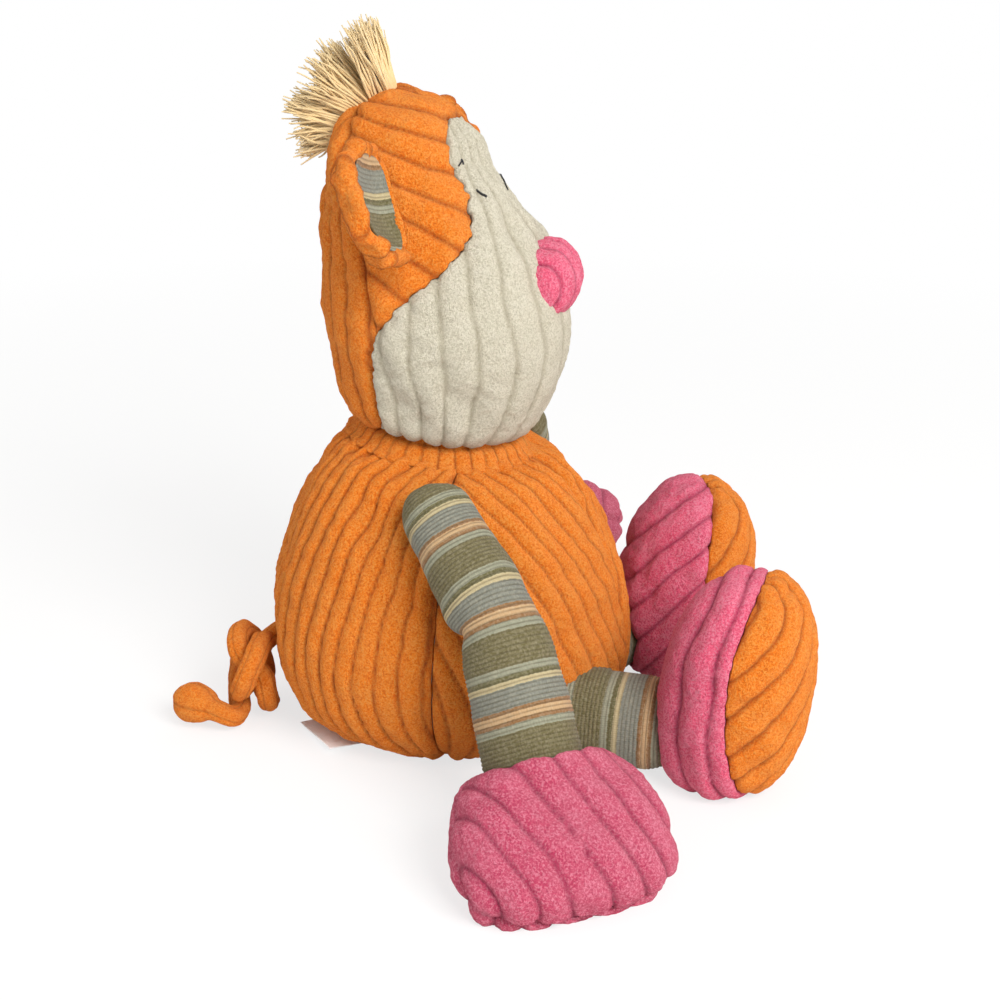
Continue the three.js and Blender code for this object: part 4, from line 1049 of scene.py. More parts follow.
def shoulder_clear(points, side, shoulder):
    """Keeps a sleeve outside the widest that the body gets on the way that each of its points swings."""
    sign = dict(SIDES)[side]
    found = []
    for part in ("back", "belly"):
        vertices = bpy.data.objects[f"{part}_{side}"].data.vertices
        co = np.zeros(len(vertices) * 3)
        vertices.foreach_get("co", co)
        found.append(co.reshape(-1, 3) / MM)
    body = np.concatenate(found)
    body = body[sign * body[:, 1] > 0]

    def turned(p):
        return np.degrees(np.arctan2(p[:, 2] - shoulder[2], p[:, 0] - shoulder[0])) % 360

    def distance(p):
        return np.hypot(p[:, 0] - shoulder[0], p[:, 2] - shoulder[2])

    slices = 360 // SWING_SLICE
    widest = np.zeros((SWING_RINGS, slices))
    ring = np.minimum(distance(body) // SWING_RING, SWING_RINGS - 1).astype(int)
    np.maximum.at(widest, (ring, (turned(body) // SWING_SLICE).astype(int) % slices), sign * body[:, 1])
    widest[:3] = widest[:3].max()  # too near the axis for slices
    widest = np.maximum.reduce(beside(widest, 1))
    swing = range(-(SWING_BACK // SWING_SLICE + 1), SWING_FORTH // SWING_SLICE + 2)
    widest = np.maximum.reduce([np.roll(widest, -step, 1) for step in swing])
    widest = sum(beside(widest, 2)) / 5
    widest = sum(np.roll(widest, k, 1) for k in (-2, -1, 0, 1, 2)) / 5 + SHOULDER_ROOM
    out = np.clip(distance(points) / SWING_RING - 0.5, 0, SWING_RINGS - 1.001)
    about = turned(points) / SWING_SLICE - 0.5
    row, column = np.floor(out).astype(int), np.floor(about).astype(int)
    least = 0
    for i, part in ((0, 1 - out % 1), (1, out % 1)):
        for j, share in ((0, 1 - about % 1), (1, about % 1)):
            least = least + part * share * widest[row + i, (column + j) % slices]
    short = least - sign * points[:, 1]
    rounded = 0.5 * (np.hypot(short, SHOULDER_ROUND) - np.abs(short))
    points[:, 1] += sign * (np.maximum(short, 0) + rounded)
    return points


SLEEVE_RADII, SLEEVE_SWELL = (14.6, 16, 19.4), 1.6  # at shoulder, elbow and wrist, and more between them
ELBOW_CREASE, CUFF_REACH = 3.0, 19.55


class MONKEY_OT_sleeves(bpy.types.Operator):
    """Knits the two striped sleeves"""

    bl_idname = "monkey.sleeves"
    bl_label = "Sleeves"

    def execute(self, context):
        knit_set = context.scene.monkey_knit
        for side, sign in SIDES:
            shoulder, elbow, wrist = (
                turning_point(f"{side}_{joint}") for joint in ("shoulder_swing", "elbow_bend", "wrist_bend"))
            line, radii, places, (start, bend, end) = ball_ended(
                shoulder, elbow, wrist, *SLEEVE_RADII, SLEEVE_SWELL, 396)
            rows = swept(line, radii, 132, np.array([0.0, 1, 0]))
            points, tris, shades = ribbed(rows, places, 17, knit_set.rib_pitch, knit_set.rib_depth, 91 + sign)
            along = shades["along"]
            inside = unit(unit(wrist - elbow) - unit(elbow - shoulder))
            near = np.exp(-((along - bend) / 3.6) ** 2) - 0.5 * np.exp(-((along - bend + 9) / 5) ** 2)
            points -= inside * (ELBOW_CREASE * near * ease((points - elbow) @ inside, 1, 13))[:, None]
            held_within(points, wrist, CUFF_REACH, along > end)
            points = shoulder_clear(points, side, shoulder)
            points[:, 2] = np.maximum(points[:, 2], 0.3)
            cloth = knit(f"striped_rib_knit_{side}_sleeve", knit_set.repeat, start + 20.7)
            piece = made_piece(f"sleeve_{side}", points, tris, shades, cloth)
            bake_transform(piece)
            seated(piece, None, "striped_knit", f"{side}_upper_arm", f"{side}_forearm", fill=0.6)
        return {"FINISHED"}


def lifted(points, least=0.0):
    points[:, 2] = np.maximum(points[:, 2], least)
    return points


def mitt_frame(side, sign):
    """The wrist, and the mitt's own ways along, through and across it."""
    wrist = turning_point(f"{side}_wrist_bend")
    forward, out = {"right": (39, 42), "left": (-6, 62)}[side]
    forward, out = math.radians(forward), math.radians(out)
    level = math.cos(out)
    way = np.array([math.sin(forward) * level, sign * math.sin(out), -math.cos(forward) * level])
    thick = unit(np.array([0, 0, 1]) - way[2] * way)
    return wrist, way, thick, unit(np.cross(thick, way))


MITT_LINE = [  # how far along, half width and half thickness; the first rings turn in to the cuff
    (13, 3, 3), (14, 12, 12), (11, 17.5, 17.5), (6.0, 20.4, 20.4), (3.4, 22.2, 21.6), (3.2, 25.4, 22.4),
    (6.4, 30.2, 21.8), (13, 34.2, 20.4), (29, 39.2, 20), (43.5, 40, 19.6), (54.5, 36.5, 17.6),
    (60.6, 29, 13.4), (64, 17, 7.4), (64.8, 5, 2.4),
]


CUFF_ROOM = 20.1  # radius about the wrist that stays free for the sleeve's end


class MONKEY_OT_mitts(bpy.types.Operator):
    """Stuffs the two thick pink mitts"""

    bl_idname = "monkey.mitts"
    bl_label = "Mitts"

    def execute(self, context):
        plush_set = context.scene.monkey_plush
        line = through(MITT_LINE, 16)
        for side, sign in SIDES:
            wrist, way, thick, across = mitt_frame(side, sign)
            sleeve = unit(wrist - turning_point(f"{side}_elbow_bend"))
            tip_thick, tip_across = ((sleeve @ v) / (sleeve @ way) for v in (thick, across))

            def mitt_rows(count, columns):
                along, half, deep = evenly(line, count).T
                share = ease(along, 8, 30)
                rows = []
                angle = 2 * np.pi * np.arange(columns) / columns
                for a, w, t, s in zip(along, half, deep, share):
                    n = 2 + 0.7 * s
                    c, k = np.cos(angle), np.sin(angle)
                    c, k = np.sign(c) * np.abs(c) ** (2 / n), np.sign(k) * np.abs(k) ** (2 / n)
                    squared_up = (tip_across * w * c + tip_thick * t * k) * (1 - ease(a, 5, 34))
                    ring = way * (a - squared_up)[:, None] + across * w * c[:, None] + thick * t * k[:, None]
                    rows.append(wrist + ring)
                return np.array(rows)

            def pinned(points):
                along = (points - wrist) @ way
                rim = np.abs((points - wrist) @ thick) < 2.5
                return np.maximum(ease(-along, -16, -12), 0.9 * (rim & (along > 12)))

            count, columns = 170, 230
            moved = swelling(mitt_rows, (44, 56), pinned, 0.4 * plush_set.swell)
            points, tris = skin_of(mitt_rows(count, columns) + spread(moved, count, columns))
            normals = normals_of(points, tris)
            rel = points - wrist
            a, b, c = rel @ way, rel @ across, rel @ thick
            slant = math.radians(25)
            u = b * math.cos(slant) - a * math.sin(slant) * np.sign(c + 1e-9) + 4.9
            seam = np.where(a > 12, np.abs(c), FAR)
            inner = ease(-np.hypot(b, c), -21.2, -19.6) * (a < 16)
            relief = 1.25 * plush_set.wale_depth * (0.35 + 0.65 * ease(a, 3, 15))
            outer, shades = corded(
                points, normals, u, seam, 1.3 * plush_set.wale_pitch, relief, 101, roll=1.5, roll_width=4)
            outer = outer * (1 - inner)[:, None] + points * inner[:, None]
            cuff_gap = np.linalg.norm(outer - wrist, axis=1)
            close = (cuff_gap < CUFF_ROOM) & (a < 15)
            outer[close] = wrist + (outer[close] - wrist) * (CUFF_ROOM / cuff_gap[close])[:, None]
            sewn(f"mitt_{side}_plush", (lifted(outer), tris, shades), dyed("mitt_pink"),
                 f"{side}_mitt", "pink_plush", f"{side}_mitt")
        return {"FINISHED"}


FOOT_HEIGHT, FOOT_WIDTH, FOOT_THICKNESS, FOOT_SET = 91, 64, 60, 6
FOOT_LEAN = math.radians(7)
SOLE_THICKNESS, SOLE_BULGE = 24, 8
FOOT_LINE = [  # height and its share of the width and thickness
    (-0.035, 0.1, 0.1), (-0.03, 0.34, 0.34), (0.02, 0.64, 0.62), (0.12, 0.86, 0.88), (0.3, 0.98, 1),
    (0.52, 1, 1), (0.72, 0.94, 0.92), (0.88, 0.74, 0.72), (0.97, 0.44, 0.44), (1.0, 0.2, 0.2),
    (1.004, 0.05, 0.05),
]
FOOT_TURNS = {"right": -2, "left": 25}
INSTEP_SLANT, SOLE_SLANT = math.radians(3), math.radians(43)
LEFT_INSTEP_WAY = unit(np.array([0.70, -0.22, -0.68]))
ANKLE_ROOM, HIP_ROOM = 20.2, 23.2  # radii of the openings that the leg goes through


class MONKEY_OT_feet(bpy.types.Operator):
    """Stuffs the two upright feet, each of a pink instep and an orange sole"""

    bl_idname = "monkey.feet"
    bl_label = "Feet"

    def execute(self, context):
        plush_set = context.scene.monkey_plush
        line = through(FOOT_LINE, 20)
        seam_at = FOOT_SET + FOOT_THICKNESS - SOLE_THICKNESS
        half = FOOT_HEIGHT / 2
        radius = (half * half + SOLE_BULGE**2) / (2 * SOLE_BULGE)
        for side, sign in SIDES:
            ankle, hip = turning_point(f"{side}_ankle_bend"), turning_point(f"{side}_hip_spread")
            turn = math.radians(FOOT_TURNS[side])
            way = np.array([math.cos(turn), math.sin(turn), 0])
            across = np.array([-way[1], way[0], 0])
            middle = ankle + way * (FOOT_SET + FOOT_THICKNESS / 2)

            def foot_rows(count, columns):
                h, wide, thick = evenly(line, count, weights=np.array([FOOT_HEIGHT, 32, 30])).T
                z = FOOT_HEIGHT * h
                centres = middle + way * ((h - 0.5) * FOOT_HEIGHT * math.tan(FOOT_LEAN))[:, None]
                centres[:, 2] = z
                return rings(centres, way * (thick * FOOT_THICKNESS / 2)[:, None],
                             across * (wide * FOOT_WIDTH / 2)[:, None], columns, power=2.15)

            def into_sole(p):
                """How far on the sole's side of the seam, which bows back halfway up."""
                ahead = (p[:, :3] - ankle) @ way
                return radius - np.hypot(ahead - (seam_at + radius - SOLE_BULGE / 2), p[:, 2] - half)

            def pinned(points):
                low = (points[:, 2] < 3) | ((points - ankle) @ way < FOOT_SET + 0.35 * FOOT_THICKNESS)
                return np.maximum(ease(-np.abs(into_sole(points)), -3.6, -1.2), low)

            count, columns = 190, 210
            moved = swelling(foot_rows, (48, 54), pinned, plush_set.swell)
            points, tris = skin_of(foot_rows(count, columns) + spread(moved, count, columns))
            points -= normals_of(points, tris) * (1.3 * ease(-(points - ankle) @ way, -40, -14))[:, None]
            points = lifted(points)

            def instep_wales(p):
                if side == "left":
                    return (p[:, :3] - ankle) @ LEFT_INSTEP_WAY
                return -into_sole(p) * math.cos(INSTEP_SLANT) + p[:, 2] * math.sin(INSTEP_SLANT) + 1.2

            def sole_wales(p):
                rel = p[:, :3] - ankle
                flat = np.arctan2(rel @ across, rel @ way - seam_at + 6) * 29
                return flat * math.cos(SOLE_SLANT) - rel[:, 2] * math.sin(SOLE_SLANT)

            def instep_edge(p):
                return -into_sole(p) - 0.4 * ragged(p) - NEEDLE_GAP

            def sole_edge(p):
                return into_sole(p) + 0.4 * ragged(p) - NEEDLE_GAP

            for part, colour, edges, wales, pitch, depth, seed in (
                ("instep", "pink", [instep_edge, hole(ankle, ANKLE_ROOM), hole(hip, HIP_ROOM)], instep_wales,
                 1.27, 1.15, 111),
                ("sole", "orange", [sole_edge], sole_wales, 1.2, 1, 121),
            ):
                pitch, depth = pitch * plush_set.wale_pitch, depth * plush_set.wale_depth
                cover = panel(points, tris, edges, wales, pitch, depth, seed + sign,
                              floor=True, roll=1.2, roll_width=4)
                slot = f"{colour}_plush"
                sewn(f"{part}_{side}", cover, dyed(colour), f"{side}_foot", slot, f"{side}_{part}")
        return {"FINISHED"}


LEG_RADII = (22, 20.6, 19.3)  # at hip, middle and ankle
ANKLE_REACH = 19.4


class MONKEY_OT_legs(bpy.types.Operator):
    """Knits the two striped legs"""

    bl_idname = "monkey.legs"
    bl_label = "Legs"

    def execute(self, context):
        knit_set = context.scene.monkey_knit
        for side, sign in SIDES:
            hip, ankle = turning_point(f"{side}_hip_spread"), turning_point(f"{side}_ankle_bend")
            middle = (hip + ankle) / 2
            bend = min(14.0, 0.4 * np.linalg.norm(ankle - hip))
            line, radii, places, (start, _, _) = ball_ended(hip, middle, ankle, *LEG_RADII, 0, 270, bend)
            rows = swept(line, radii, 130, np.array([0.0, 0, 1]))
            points, tris, shades = ribbed(
                rows, places, 20, knit_set.rib_pitch, knit_set.rib_depth, 131 + sign, fold=0.3)
            for centre, reach in ((hip, 22.3), (ankle, 19.6)):
                held_within(points, centre, reach, ((points - centre) @ (middle - centre)) < 0)
            down = unit(ankle - middle)
            along = (points - ankle) @ down
            off = points - ankle - along[:, None] * down
            near = np.abs(along) < 17
            over = np.maximum(1 - ANKLE_REACH / np.maximum(np.linalg.norm(off, axis=1), 1), 0)
            points[near] -= (off * over[:, None])[near]
            cloth = knit(f"striped_rib_knit_{side}_leg", knit_set.repeat, start + 17.5)
            sewn(f"leg_{side}", (lifted(points), tris, shades), cloth,
                 f"{side}_leg", "striped_knit", f"{side}_leg", fill=0.6)
        return {"FINISHED"}


# Tail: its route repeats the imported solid's, a trefoil opened at the bottom
TAIL_DIAMETER, TAIL_ROOT_RADIUS, TAIL_END, TAIL_END_LENGTH = 9.4, 7.5, 18, 24
TAIL_WALES, TAIL_PITCH = 4, 7.4


def tail_line():
    strand = TAIL_DIAMETER * 1.12
    ring, wrap, drop = 1.13 * strand, 0.52 * strand, 1.7 * strand
    bearing = math.radians(24)
    outward = np.array([-math.cos(bearing), -math.sin(bearing), 0])
    to_root = np.array([-math.sin(bearing), math.cos(bearing), 0])
    height = drop + TAIL_DIAMETER / 2 + 1
    outline = through(BODY_OUTLINE, 2)
    half = np.interp(height + ring, outline[:, 0], outline[:, 1])
    on_body = np.array([-half * math.cos(bearing), -half * BODY_WIDTH_SHARE * math.sin(bearing), height])
    centre = on_body + 12.5 * outward

    def in_knot(down, along, out):
        return centre + np.array([0, 0, -down * strand]) + along * strand * to_root + out * strand * outward

    start, steps = math.pi / 3, 26
    loops = []
    for i in range(steps + 1):
        angle = start + (4 * math.pi - 2 * start) * (steps - i) / steps
        radius = (ring + wrap * math.cos(1.5 * angle)) / strand
        over = 0.52 * math.sin(1.5 * angle)
        loops.append(in_knot(radius * math.cos(angle), radius * math.sin(angle), over))
    tip = TAIL_END_LENGTH / strand
    points = [
        TAIL_ROOT + [TAIL_ROOT_RADIUS, 0, 0], TAIL_ROOT, TAIL_ROOT + [-TAIL_ROOT_RADIUS - 1, -1, -2],
        in_knot(0.75, 2.15, 0.05), in_knot(1.4, 1.4, -0.35), in_knot(1.7, 0.45, -0.6),
        in_knot(1.36, -0.5, -0.6),
        *loops,
        in_knot(1.36, 0.5, 0.6), in_knot(1.7, -0.45, 0.6), in_knot(1.6, -1.15, 0.95),
        in_knot(1.35, -1.2, 1.45),
        in_knot(1.25, -0.6, 1.05 + 0.5 * tip), in_knot(1.2, 0.1, 0.95 + tip),
    ]
    p = np.array([2 * points[0] - points[1], *points, 2 * points[-1] - points[-2]])
    made = []
    for a, b, c, d in zip(p, p[1:], p[2:], p[3:]):  # timed by the root of each length, as the solid's are
        ta, tb, tc = (max(np.linalg.norm(q - r) ** 0.5, 1e-4) for q, r in ((b, a), (c, b), (d, c)))
        out = ((b - a) / ta - (c - a) / (ta + tb) + (c - b) / tb) * tb
        into = ((c - b) / tb - (d - b) / (tb + tc) + (d - c) / tc) * tb
        made.append(span(b, c, out, into, np.linspace(0, 1, 16, endpoint=False)[:, None]))
    return np.concatenate([*made, [points[-1]]])


class MONKEY_OT_tail(bpy.types.Operator):
    """Sweeps the knotted tail"""

    bl_idname = "monkey.tail"
    bl_label = "Tail"

    def execute(self, context):
        count, columns = 520, 64
        line = evenly(tail_line(), count)
        length = np.linalg.norm(np.diff(line, axis=0), axis=1).sum()
        s = np.linspace(0, length, count)
        root = np.minimum(s / (2 * TAIL_ROOT_RADIUS), 1)
        root_ball = TAIL_ROOT_RADIUS * np.sqrt(np.maximum(1 - (2 * root - 1) ** 2, 0))
        left = np.minimum((length - s) / TAIL_END_LENGTH, 1)
        bulb = TAIL_END / 2 * np.sin(np.pi * left**0.8).clip(0) ** 0.65
        strand = np.where((s > TAIL_ROOT_RADIUS) & (length - s > TAIL_END_LENGTH / 2), TAIL_DIAMETER / 2, 0)
        radii = np.maximum.reduce([root_ball, bulb, strand, np.full(count, 0.5)])
        radii = np.convolve(np.pad(radii, 3, mode="edge"), np.ones(7) / 7, "valid")
        points, tris = skin_of(swept(line, radii, columns, np.array([0.0, 0, 1])))
        turn = np.concatenate([np.tile(np.arange(columns) / columns, count), [0, 0]])
        crown = crown_of(turn * TAIL_WALES * TAIL_PITCH + 0.25 * ripple(points, 8, 141), TAIL_PITCH)
        rise = 0.75 * (crown - 0.85) + 0.22 * ripple(points, 5, 142) + 0.07 * ripple(points, 1.8, 143)
        points = lifted(points + normals_of(points, tris) * rise[:, None], 0.2)
        # groove, at 0.8, marks the painted shade in the tail's grooves
        sewn("knotted_tail", (points, tris, {"groove": 0.8 * (1 - crown)}), dyed("orange"),
             "tail", "orange_plush", "tail", fill=0.7)
        return {"FINISHED"}


# Ears: cupped plush discs with a knit lining, drawn on the hinge's own axes
def ear_matrix(sign):
    """From the ear's own axes, hinge along its third and reaching to its minus second, to the row frame."""
    place = Matrix.Translation(Vector(turning_point("right_ear_fold" if sign < 0 else "left_ear_fold")))
    tilt = Matrix.Rotation(math.radians(-22), 4, "Y") @ Matrix.Rotation(math.radians(-17), 4, "X")
    return np.array(place @ Matrix.Diagonal((1, -sign, 1, 1)) @ tilt)


EAR_MIDDLE = -9  # of its disc, from the hinge
EAR_PROFILE = [  # radius, and how far to the front
    (0.5, -7), (8, -6.6), (17, -4.6), (22.4, -1.2), (24.4, 2.4), (23.6, 5.8), (21, 6.8), (18.6, 5),
    (17.6, 2.6), (15, 0.8), (8, -0.6), (0.5, -1),
]
LINING_PROFILE = [
    (0.4, -0.4), (10, 0.4), (17, 2.9), (19, 4.6), (18.4, 5.4), (14, 3.4), (8, 1.9), (0.4, 1.5),
]


def placed(points, tris, matrix):
    moved = points @ matrix[:3, :3].T + matrix[:3, 3]
    return moved, tris[:, ::-1] if np.linalg.det(matrix[:3, :3]) < 0 else tris


def ear_disc(profile, count, columns):
    """Rings of a dished form, from the middle of its back round its rim to the middle of its front."""
    radius, x = evenly(through(profile, 14), count).T
    angle = 2 * np.pi * np.arange(columns) / columns
    reach = np.where(np.sin(angle) > 0, np.minimum(24, 12.2 / np.maximum(np.sin(angle), 1e-6)), 24) / 24
    reach = np.convolve(np.concatenate([reach[-6:], reach, reach[:6]]), np.ones(13) / 13, "valid")
    r = radius[:, None] * reach[None]
    return np.stack([np.repeat(x[:, None], columns, 1), EAR_MIDDLE + r * np.sin(angle), r * np.cos(angle)], 2)


class MONKEY_OT_ears(bpy.types.Operator):
    """Sews the two cupped ears and their striped linings"""

    bl_idname = "monkey.ears"
    bl_label = "Ears"

    def execute(self, context):
        knit_set = context.scene.monkey_knit
        for side, sign in SIDES:
            matrix = ear_matrix(sign)
            points, tris = skin_of(ear_disc(EAR_PROFILE, 130, 200))
            normals = normals_of(points, tris)
            rim = ease(np.hypot(points[:, 1] - EAR_MIDDLE, points[:, 2]), 10, 24)
            bearing = np.arctan2(points[:, 1] - EAR_MIDDLE, points[:, 2])
            outer, shades = corded(points, normals, points[:, 1] + 2.0, None, 8.4, 1.5, 151)
            outer[:, 0] += 1.3 * rim * np.sin(7 * bearing + 1.2 * np.sin(2 * bearing))
            outer += normals * (0.9 * rim * ripple(points, 5, 152))[:, None]
            sewn(f"ear_{side}_plush", (*placed(outer, tris, matrix), shades), dyed("orange"),
                 f"{side}_ear", "orange_plush", f"{side}_ear_back", fill=0.6)
            points, tris = skin_of(ear_disc(LINING_PROFILE, 110, 180))
            along = points[:, 2]
            rib = np.abs(np.sin(np.pi * along / knit_set.rib_pitch)) ** 0.7
            points = points + normals_of(points, tris) * (0.22 * (rib - 0.5))[:, None]
            # groove marks where the knit paints shade between the ribs
            shades = {"groove": 1 - rib, "along": along, "around": points[:, 1]}
            cloth = knit(f"striped_rib_knit_{side}_ear", 1.12 * knit_set.repeat, -17.0)
            sewn(f"ear_{side}_knit", (*placed(points, tris, matrix), shades), cloth,
                 f"{side}_ear", "striped_knit", f"{side}_ear_lining", fill=0.4)
        return {"FINISHED"}


# Hair: soft threads in a few locks, fanned along the top of the back seam
def geometry_tree(name, sockets):
    """An empty tree with a geometry input and output and the named inputs."""
    tree = bpy.data.node_groups.new(name, "GeometryNodeTree")
    tree.interface.new_socket("Geometry", in_out="INPUT", socket_type="NodeSocketGeometry")
    for label, (kind, value) in sockets.items():
        tree.interface.new_socket(label, in_out="INPUT", socket_type=kind).default_value = value
    tree.interface.new_socket("Geometry", in_out="OUTPUT", socket_type="NodeSocketGeometry")
    return tree, add(tree, "NodeGroupInput"), add(tree, "NodeGroupOutput")


def closed_tree(tree, end, geometry, material):
    """Ends a tree in real, smooth geometry of one material."""
    for kind, inputs in (
        ("GeometryNodeRealizeInstances", {}), ("GeometryNodeSetShadeSmooth", {}),
        ("GeometryNodeSetMaterial", {"Material": material}),
    ):
        geometry = add(tree, kind, {"Geometry": geometry, **inputs}).outputs["Geometry"]
    tree.links.new(geometry, end.inputs["Geometry"])
    return tree


def grown_by(tree, piece, values):
    """Runs a tree on an object with the given inputs, and leaves the result as its plain mesh."""
    modifier = piece.modifiers.new(tree.name, "NODES")
    modifier.node_group = tree
    for item in tree.interface.items_tree:
        if item.in_out == "INPUT" and item.name in values:
            modifier[item.identifier] = values[item.name]
    result = bpy.data.meshes.new_from_object(piece.evaluated_get(bpy.context.evaluated_depsgraph_get()))
    piece.modifiers.remove(modifier)
    piece.data = result
    return piece


def yarn_tree(material):
    tree, start, end = geometry_tree("yarn_threads", {
        "Thread radius": ("NodeSocketFloat", 0.0005), "Sides": ("NodeSocketInt", 6),
    })
    lines = add(tree, "GeometryNodeMeshToCurve", {"Mesh": start.outputs["Geometry"]})
    ring = add(tree, "GeometryNodeCurvePrimitiveCircle", {
        "Resolution": start.outputs["Sides"], "Radius": start.outputs["Thread radius"],
    })
    thin = add(tree, "GeometryNodeInputNamedAttribute", {"Name": "thin"}, data_type="FLOAT")
    shaped = add(tree, "GeometryNodeSetCurveRadius", {
        "Curve": lines.outputs["Curve"], "Radius": thin.outputs["Attribute"],
    })
    tubes = add(tree, "GeometryNodeCurveToMesh", {
        "Curve": shaped.outputs["Curve"], "Profile Curve": ring.outputs["Curve"],
        "Scale": thin.outputs["Attribute"], "Fill Caps": True,
    })
    return closed_tree(tree, end, tubes.outputs["Mesh"], material)


HAIR_ROOTS = [  # how far ahead of the neck, and above it
    (-16, 138.5), (-24, 137.5), (-31, 133), (-36.5, 126), (-39.5, 119),
]
LOCKS, UPRIGHT_LOCKS, THREAD_POINTS = 11, 3, 11


class MONKEY_OT_hair(bpy.types.Operator):
    """Ties in the tuft of yarn hair"""

    bl_idname = "monkey.hair"
    bl_label = "Hair"

    def execute(self, context):
        hair_set = context.scene.monkey_hair
        rng = np.random.default_rng(7)
        root_line = through(HAIR_ROOTS, 8)
        lock_bends = rng.normal(size=(LOCKS, 3)) * 2.2
        lock_sizes = rng.uniform(0.9, 1.0, LOCKS)
        points, edges, grown, strand, thin = [], [], [], [], []
        t = np.linspace(0, 1, THREAD_POINTS)
        for k in range(hair_set.threads):
            share = (k + rng.uniform(0, 1)) / hair_set.threads
            lock = min(int(share * LOCKS), LOCKS - 1)
            middle = (lock + 0.5) / LOCKS
            back, up = root_line[min(int(share * (len(root_line) - 1)), len(root_line) - 1)]
            side = rng.uniform(-1, 1)
            root = NECK + np.array([back, 5.5 * side, up - 2.5 - 1.2 * abs(side)])
            place = 0.55 * share + 0.45 * middle  # threads of a lock draw together
            upright = lock < UPRIGHT_LOCKS
            lean = 112 - 18 * place if upright else 133 + 55 * (place - 0.3) / 0.7
            lean = math.radians(lean + rng.normal() * 2.8)
            aside = math.radians(10 * side + 5 * math.sin(2.4 * lock) + rng.normal() * 3)
            level = math.cos(aside)
            way = np.array([math.cos(lean) * level, math.sin(aside), math.sin(lean) * level])
            size = hair_set.length * lock_sizes[lock] * rng.uniform(0.84, 1.0)
            if not upright:
                size *= 0.95 - 0.2 * ease(share, 0.3, 0.5) - 0.38 * ease(share, 0.65, 1)
            curl = rng.normal(size=3) * 1.2
            bend = lock_bends[lock] + rng.normal(size=3) * 1.5
            line = root + way * (size * t)[:, None] + np.outer(t**2, bend)
            line += np.outer(np.sin(1.8 * np.pi * t + rng.uniform(0, 6)) * t, curl)
            first = len(points)
            points.extend(line)
            edges.extend((first + i, first + i + 1) for i in range(THREAD_POINTS - 1))
            grown.extend(t)
            strand.extend([rng.uniform()] * THREAD_POINTS)
            thin.extend(1 - 0.5 * ease(t, 0.6, 1))
        mesh = bpy.data.meshes.new("hair_lines")
        mesh.from_pydata((np.array(points) * MM).tolist(), edges, [])
        piece = linked("hair_yarn", shaded(mesh, {"grown": grown, "strand": strand, "thin": thin}))
        # The second colour is the painted shade at the roots, tinted by the orange cloth's reflected light
        yarn = spun("brushed_straw_yarn", "#dcc290", "#dfb072", "#cdbc96")
        grown_by(yarn_tree(yarn), piece, {"Thread radius": 0.5 * hair_set.thickness * MM, "Sides": 4})
        seated(piece, "head", "yarn", "hair_tuft")
        return {"FINISHED"}


def on_face(y, h):
    """The place on the face at a distance from its middle and a height above the neck."""
    back, front, side = (np.interp(h, HEAD_LINE[:, 0], HEAD_LINE[:, k]) for k in (1, 2, 3))
    x = (front - back) / 2 + (front + back) / 2 * np.sqrt(np.maximum(1 - (y / side) ** 2, 0))
    return NECK + np.stack([x, y, h + 0 * y], -1)


def laid_on(name, points, raised):
    """The nearest places on a sewn piece, raised above it."""
    found = []
    for point, rise in zip(points, raised):
        _, place, normal, _ = bpy.data.objects[name].closest_point_on_mesh(Vector(point * MM))
        found.append(np.array(place) / MM + np.array(normal) * rise)
    return np.array(found)


def stitch_tree(material):
    tree, start, end = geometry_tree("satin_stitches", {
        "Stitch spacing": ("NodeSocketFloat", 0.0005), "Stitch length": ("NodeSocketFloat", 0.0026),
        "Thread thickness": ("NodeSocketFloat", 0.0006),
    })
    line = add(tree, "GeometryNodeMeshToCurve", {"Mesh": start.outputs["Geometry"]})
    spaced = add(tree, "GeometryNodeResampleCurve", {
        "Curve": line.outputs["Curve"], "Length": start.outputs["Stitch spacing"],
    }, mode="LENGTH")
    tangent = add(tree, "GeometryNodeInputTangent")
    turn = add(tree, "FunctionNodeAlignRotationToVector", {"Vector": tangent.outputs["Tangent"]}, axis="Y")
    stitch = add(tree, "GeometryNodeMeshUVSphere", {"Segments": 8, "Rings": 6, "Radius": 0.5})
    thick, long = start.outputs["Thread thickness"], start.outputs["Stitch length"]
    size = add(tree, "ShaderNodeCombineXYZ", {"X": thick, "Y": thick, "Z": long})
    laid = add(tree, "GeometryNodeInstanceOnPoints", {
        "Points": spaced.outputs["Curve"], "Instance": stitch.outputs["Mesh"],
        "Rotation": turn.outputs["Rotation"], "Scale": size.outputs["Vector"],
    })
    return closed_tree(tree, end, laid.outputs["Instances"], material)


LID_POINTS, LASH_POINTS, STITCH_RAISED = 60, 10, 0.35


class MONKEY_OT_eyes(bpy.types.Operator):
    """Embroiders the two sleepy eyes"""

    bl_idname = "monkey.eyes"
    bl_label = "Eyes"

    def execute(self, context):
        tree = stitch_tree(plain_cloth("black_satin_thread", "#2b2b2e", "#121214", 1500.0, 0.35, 0.0))
        for side, sign in SIDES:
            t = np.linspace(0, 1, LID_POINTS)
            lid = on_face(sign * (15 + 2.5 * np.sin(np.pi * t)), 98.5 + 16.5 * t)
            sunk = 6 * ease(t, 0.3, 0.4) * ease(-t, -0.93, -0.83)  # the pile hides the middle of the lid
            t = np.linspace(0, 1, LASH_POINTS)
            lash = on_face(sign * (14.6 + 3.6 * t), 115.2 - 1.6 * t)
            line = np.concatenate([
                laid_on("face", lid, STITCH_RAISED - sunk), laid_on("face", lash, STITCH_RAISED + 0 * t)])
            edges = [(i, i + 1) for i in range(len(line) - 1) if i != LID_POINTS - 1]
            mesh = bpy.data.meshes.new("eye_line")
            mesh.from_pydata((line * MM).tolist(), edges, [])
            piece = linked(f"eye_{side}_stitches", mesh)
            grown_by(tree, piece, {
                "Stitch spacing": 0.0004, "Stitch length": 0.0014, "Thread thickness": 0.0006,
            })
            seated(piece, "head", "stitching", f"{side}_eye")
        return {"FINISHED"}


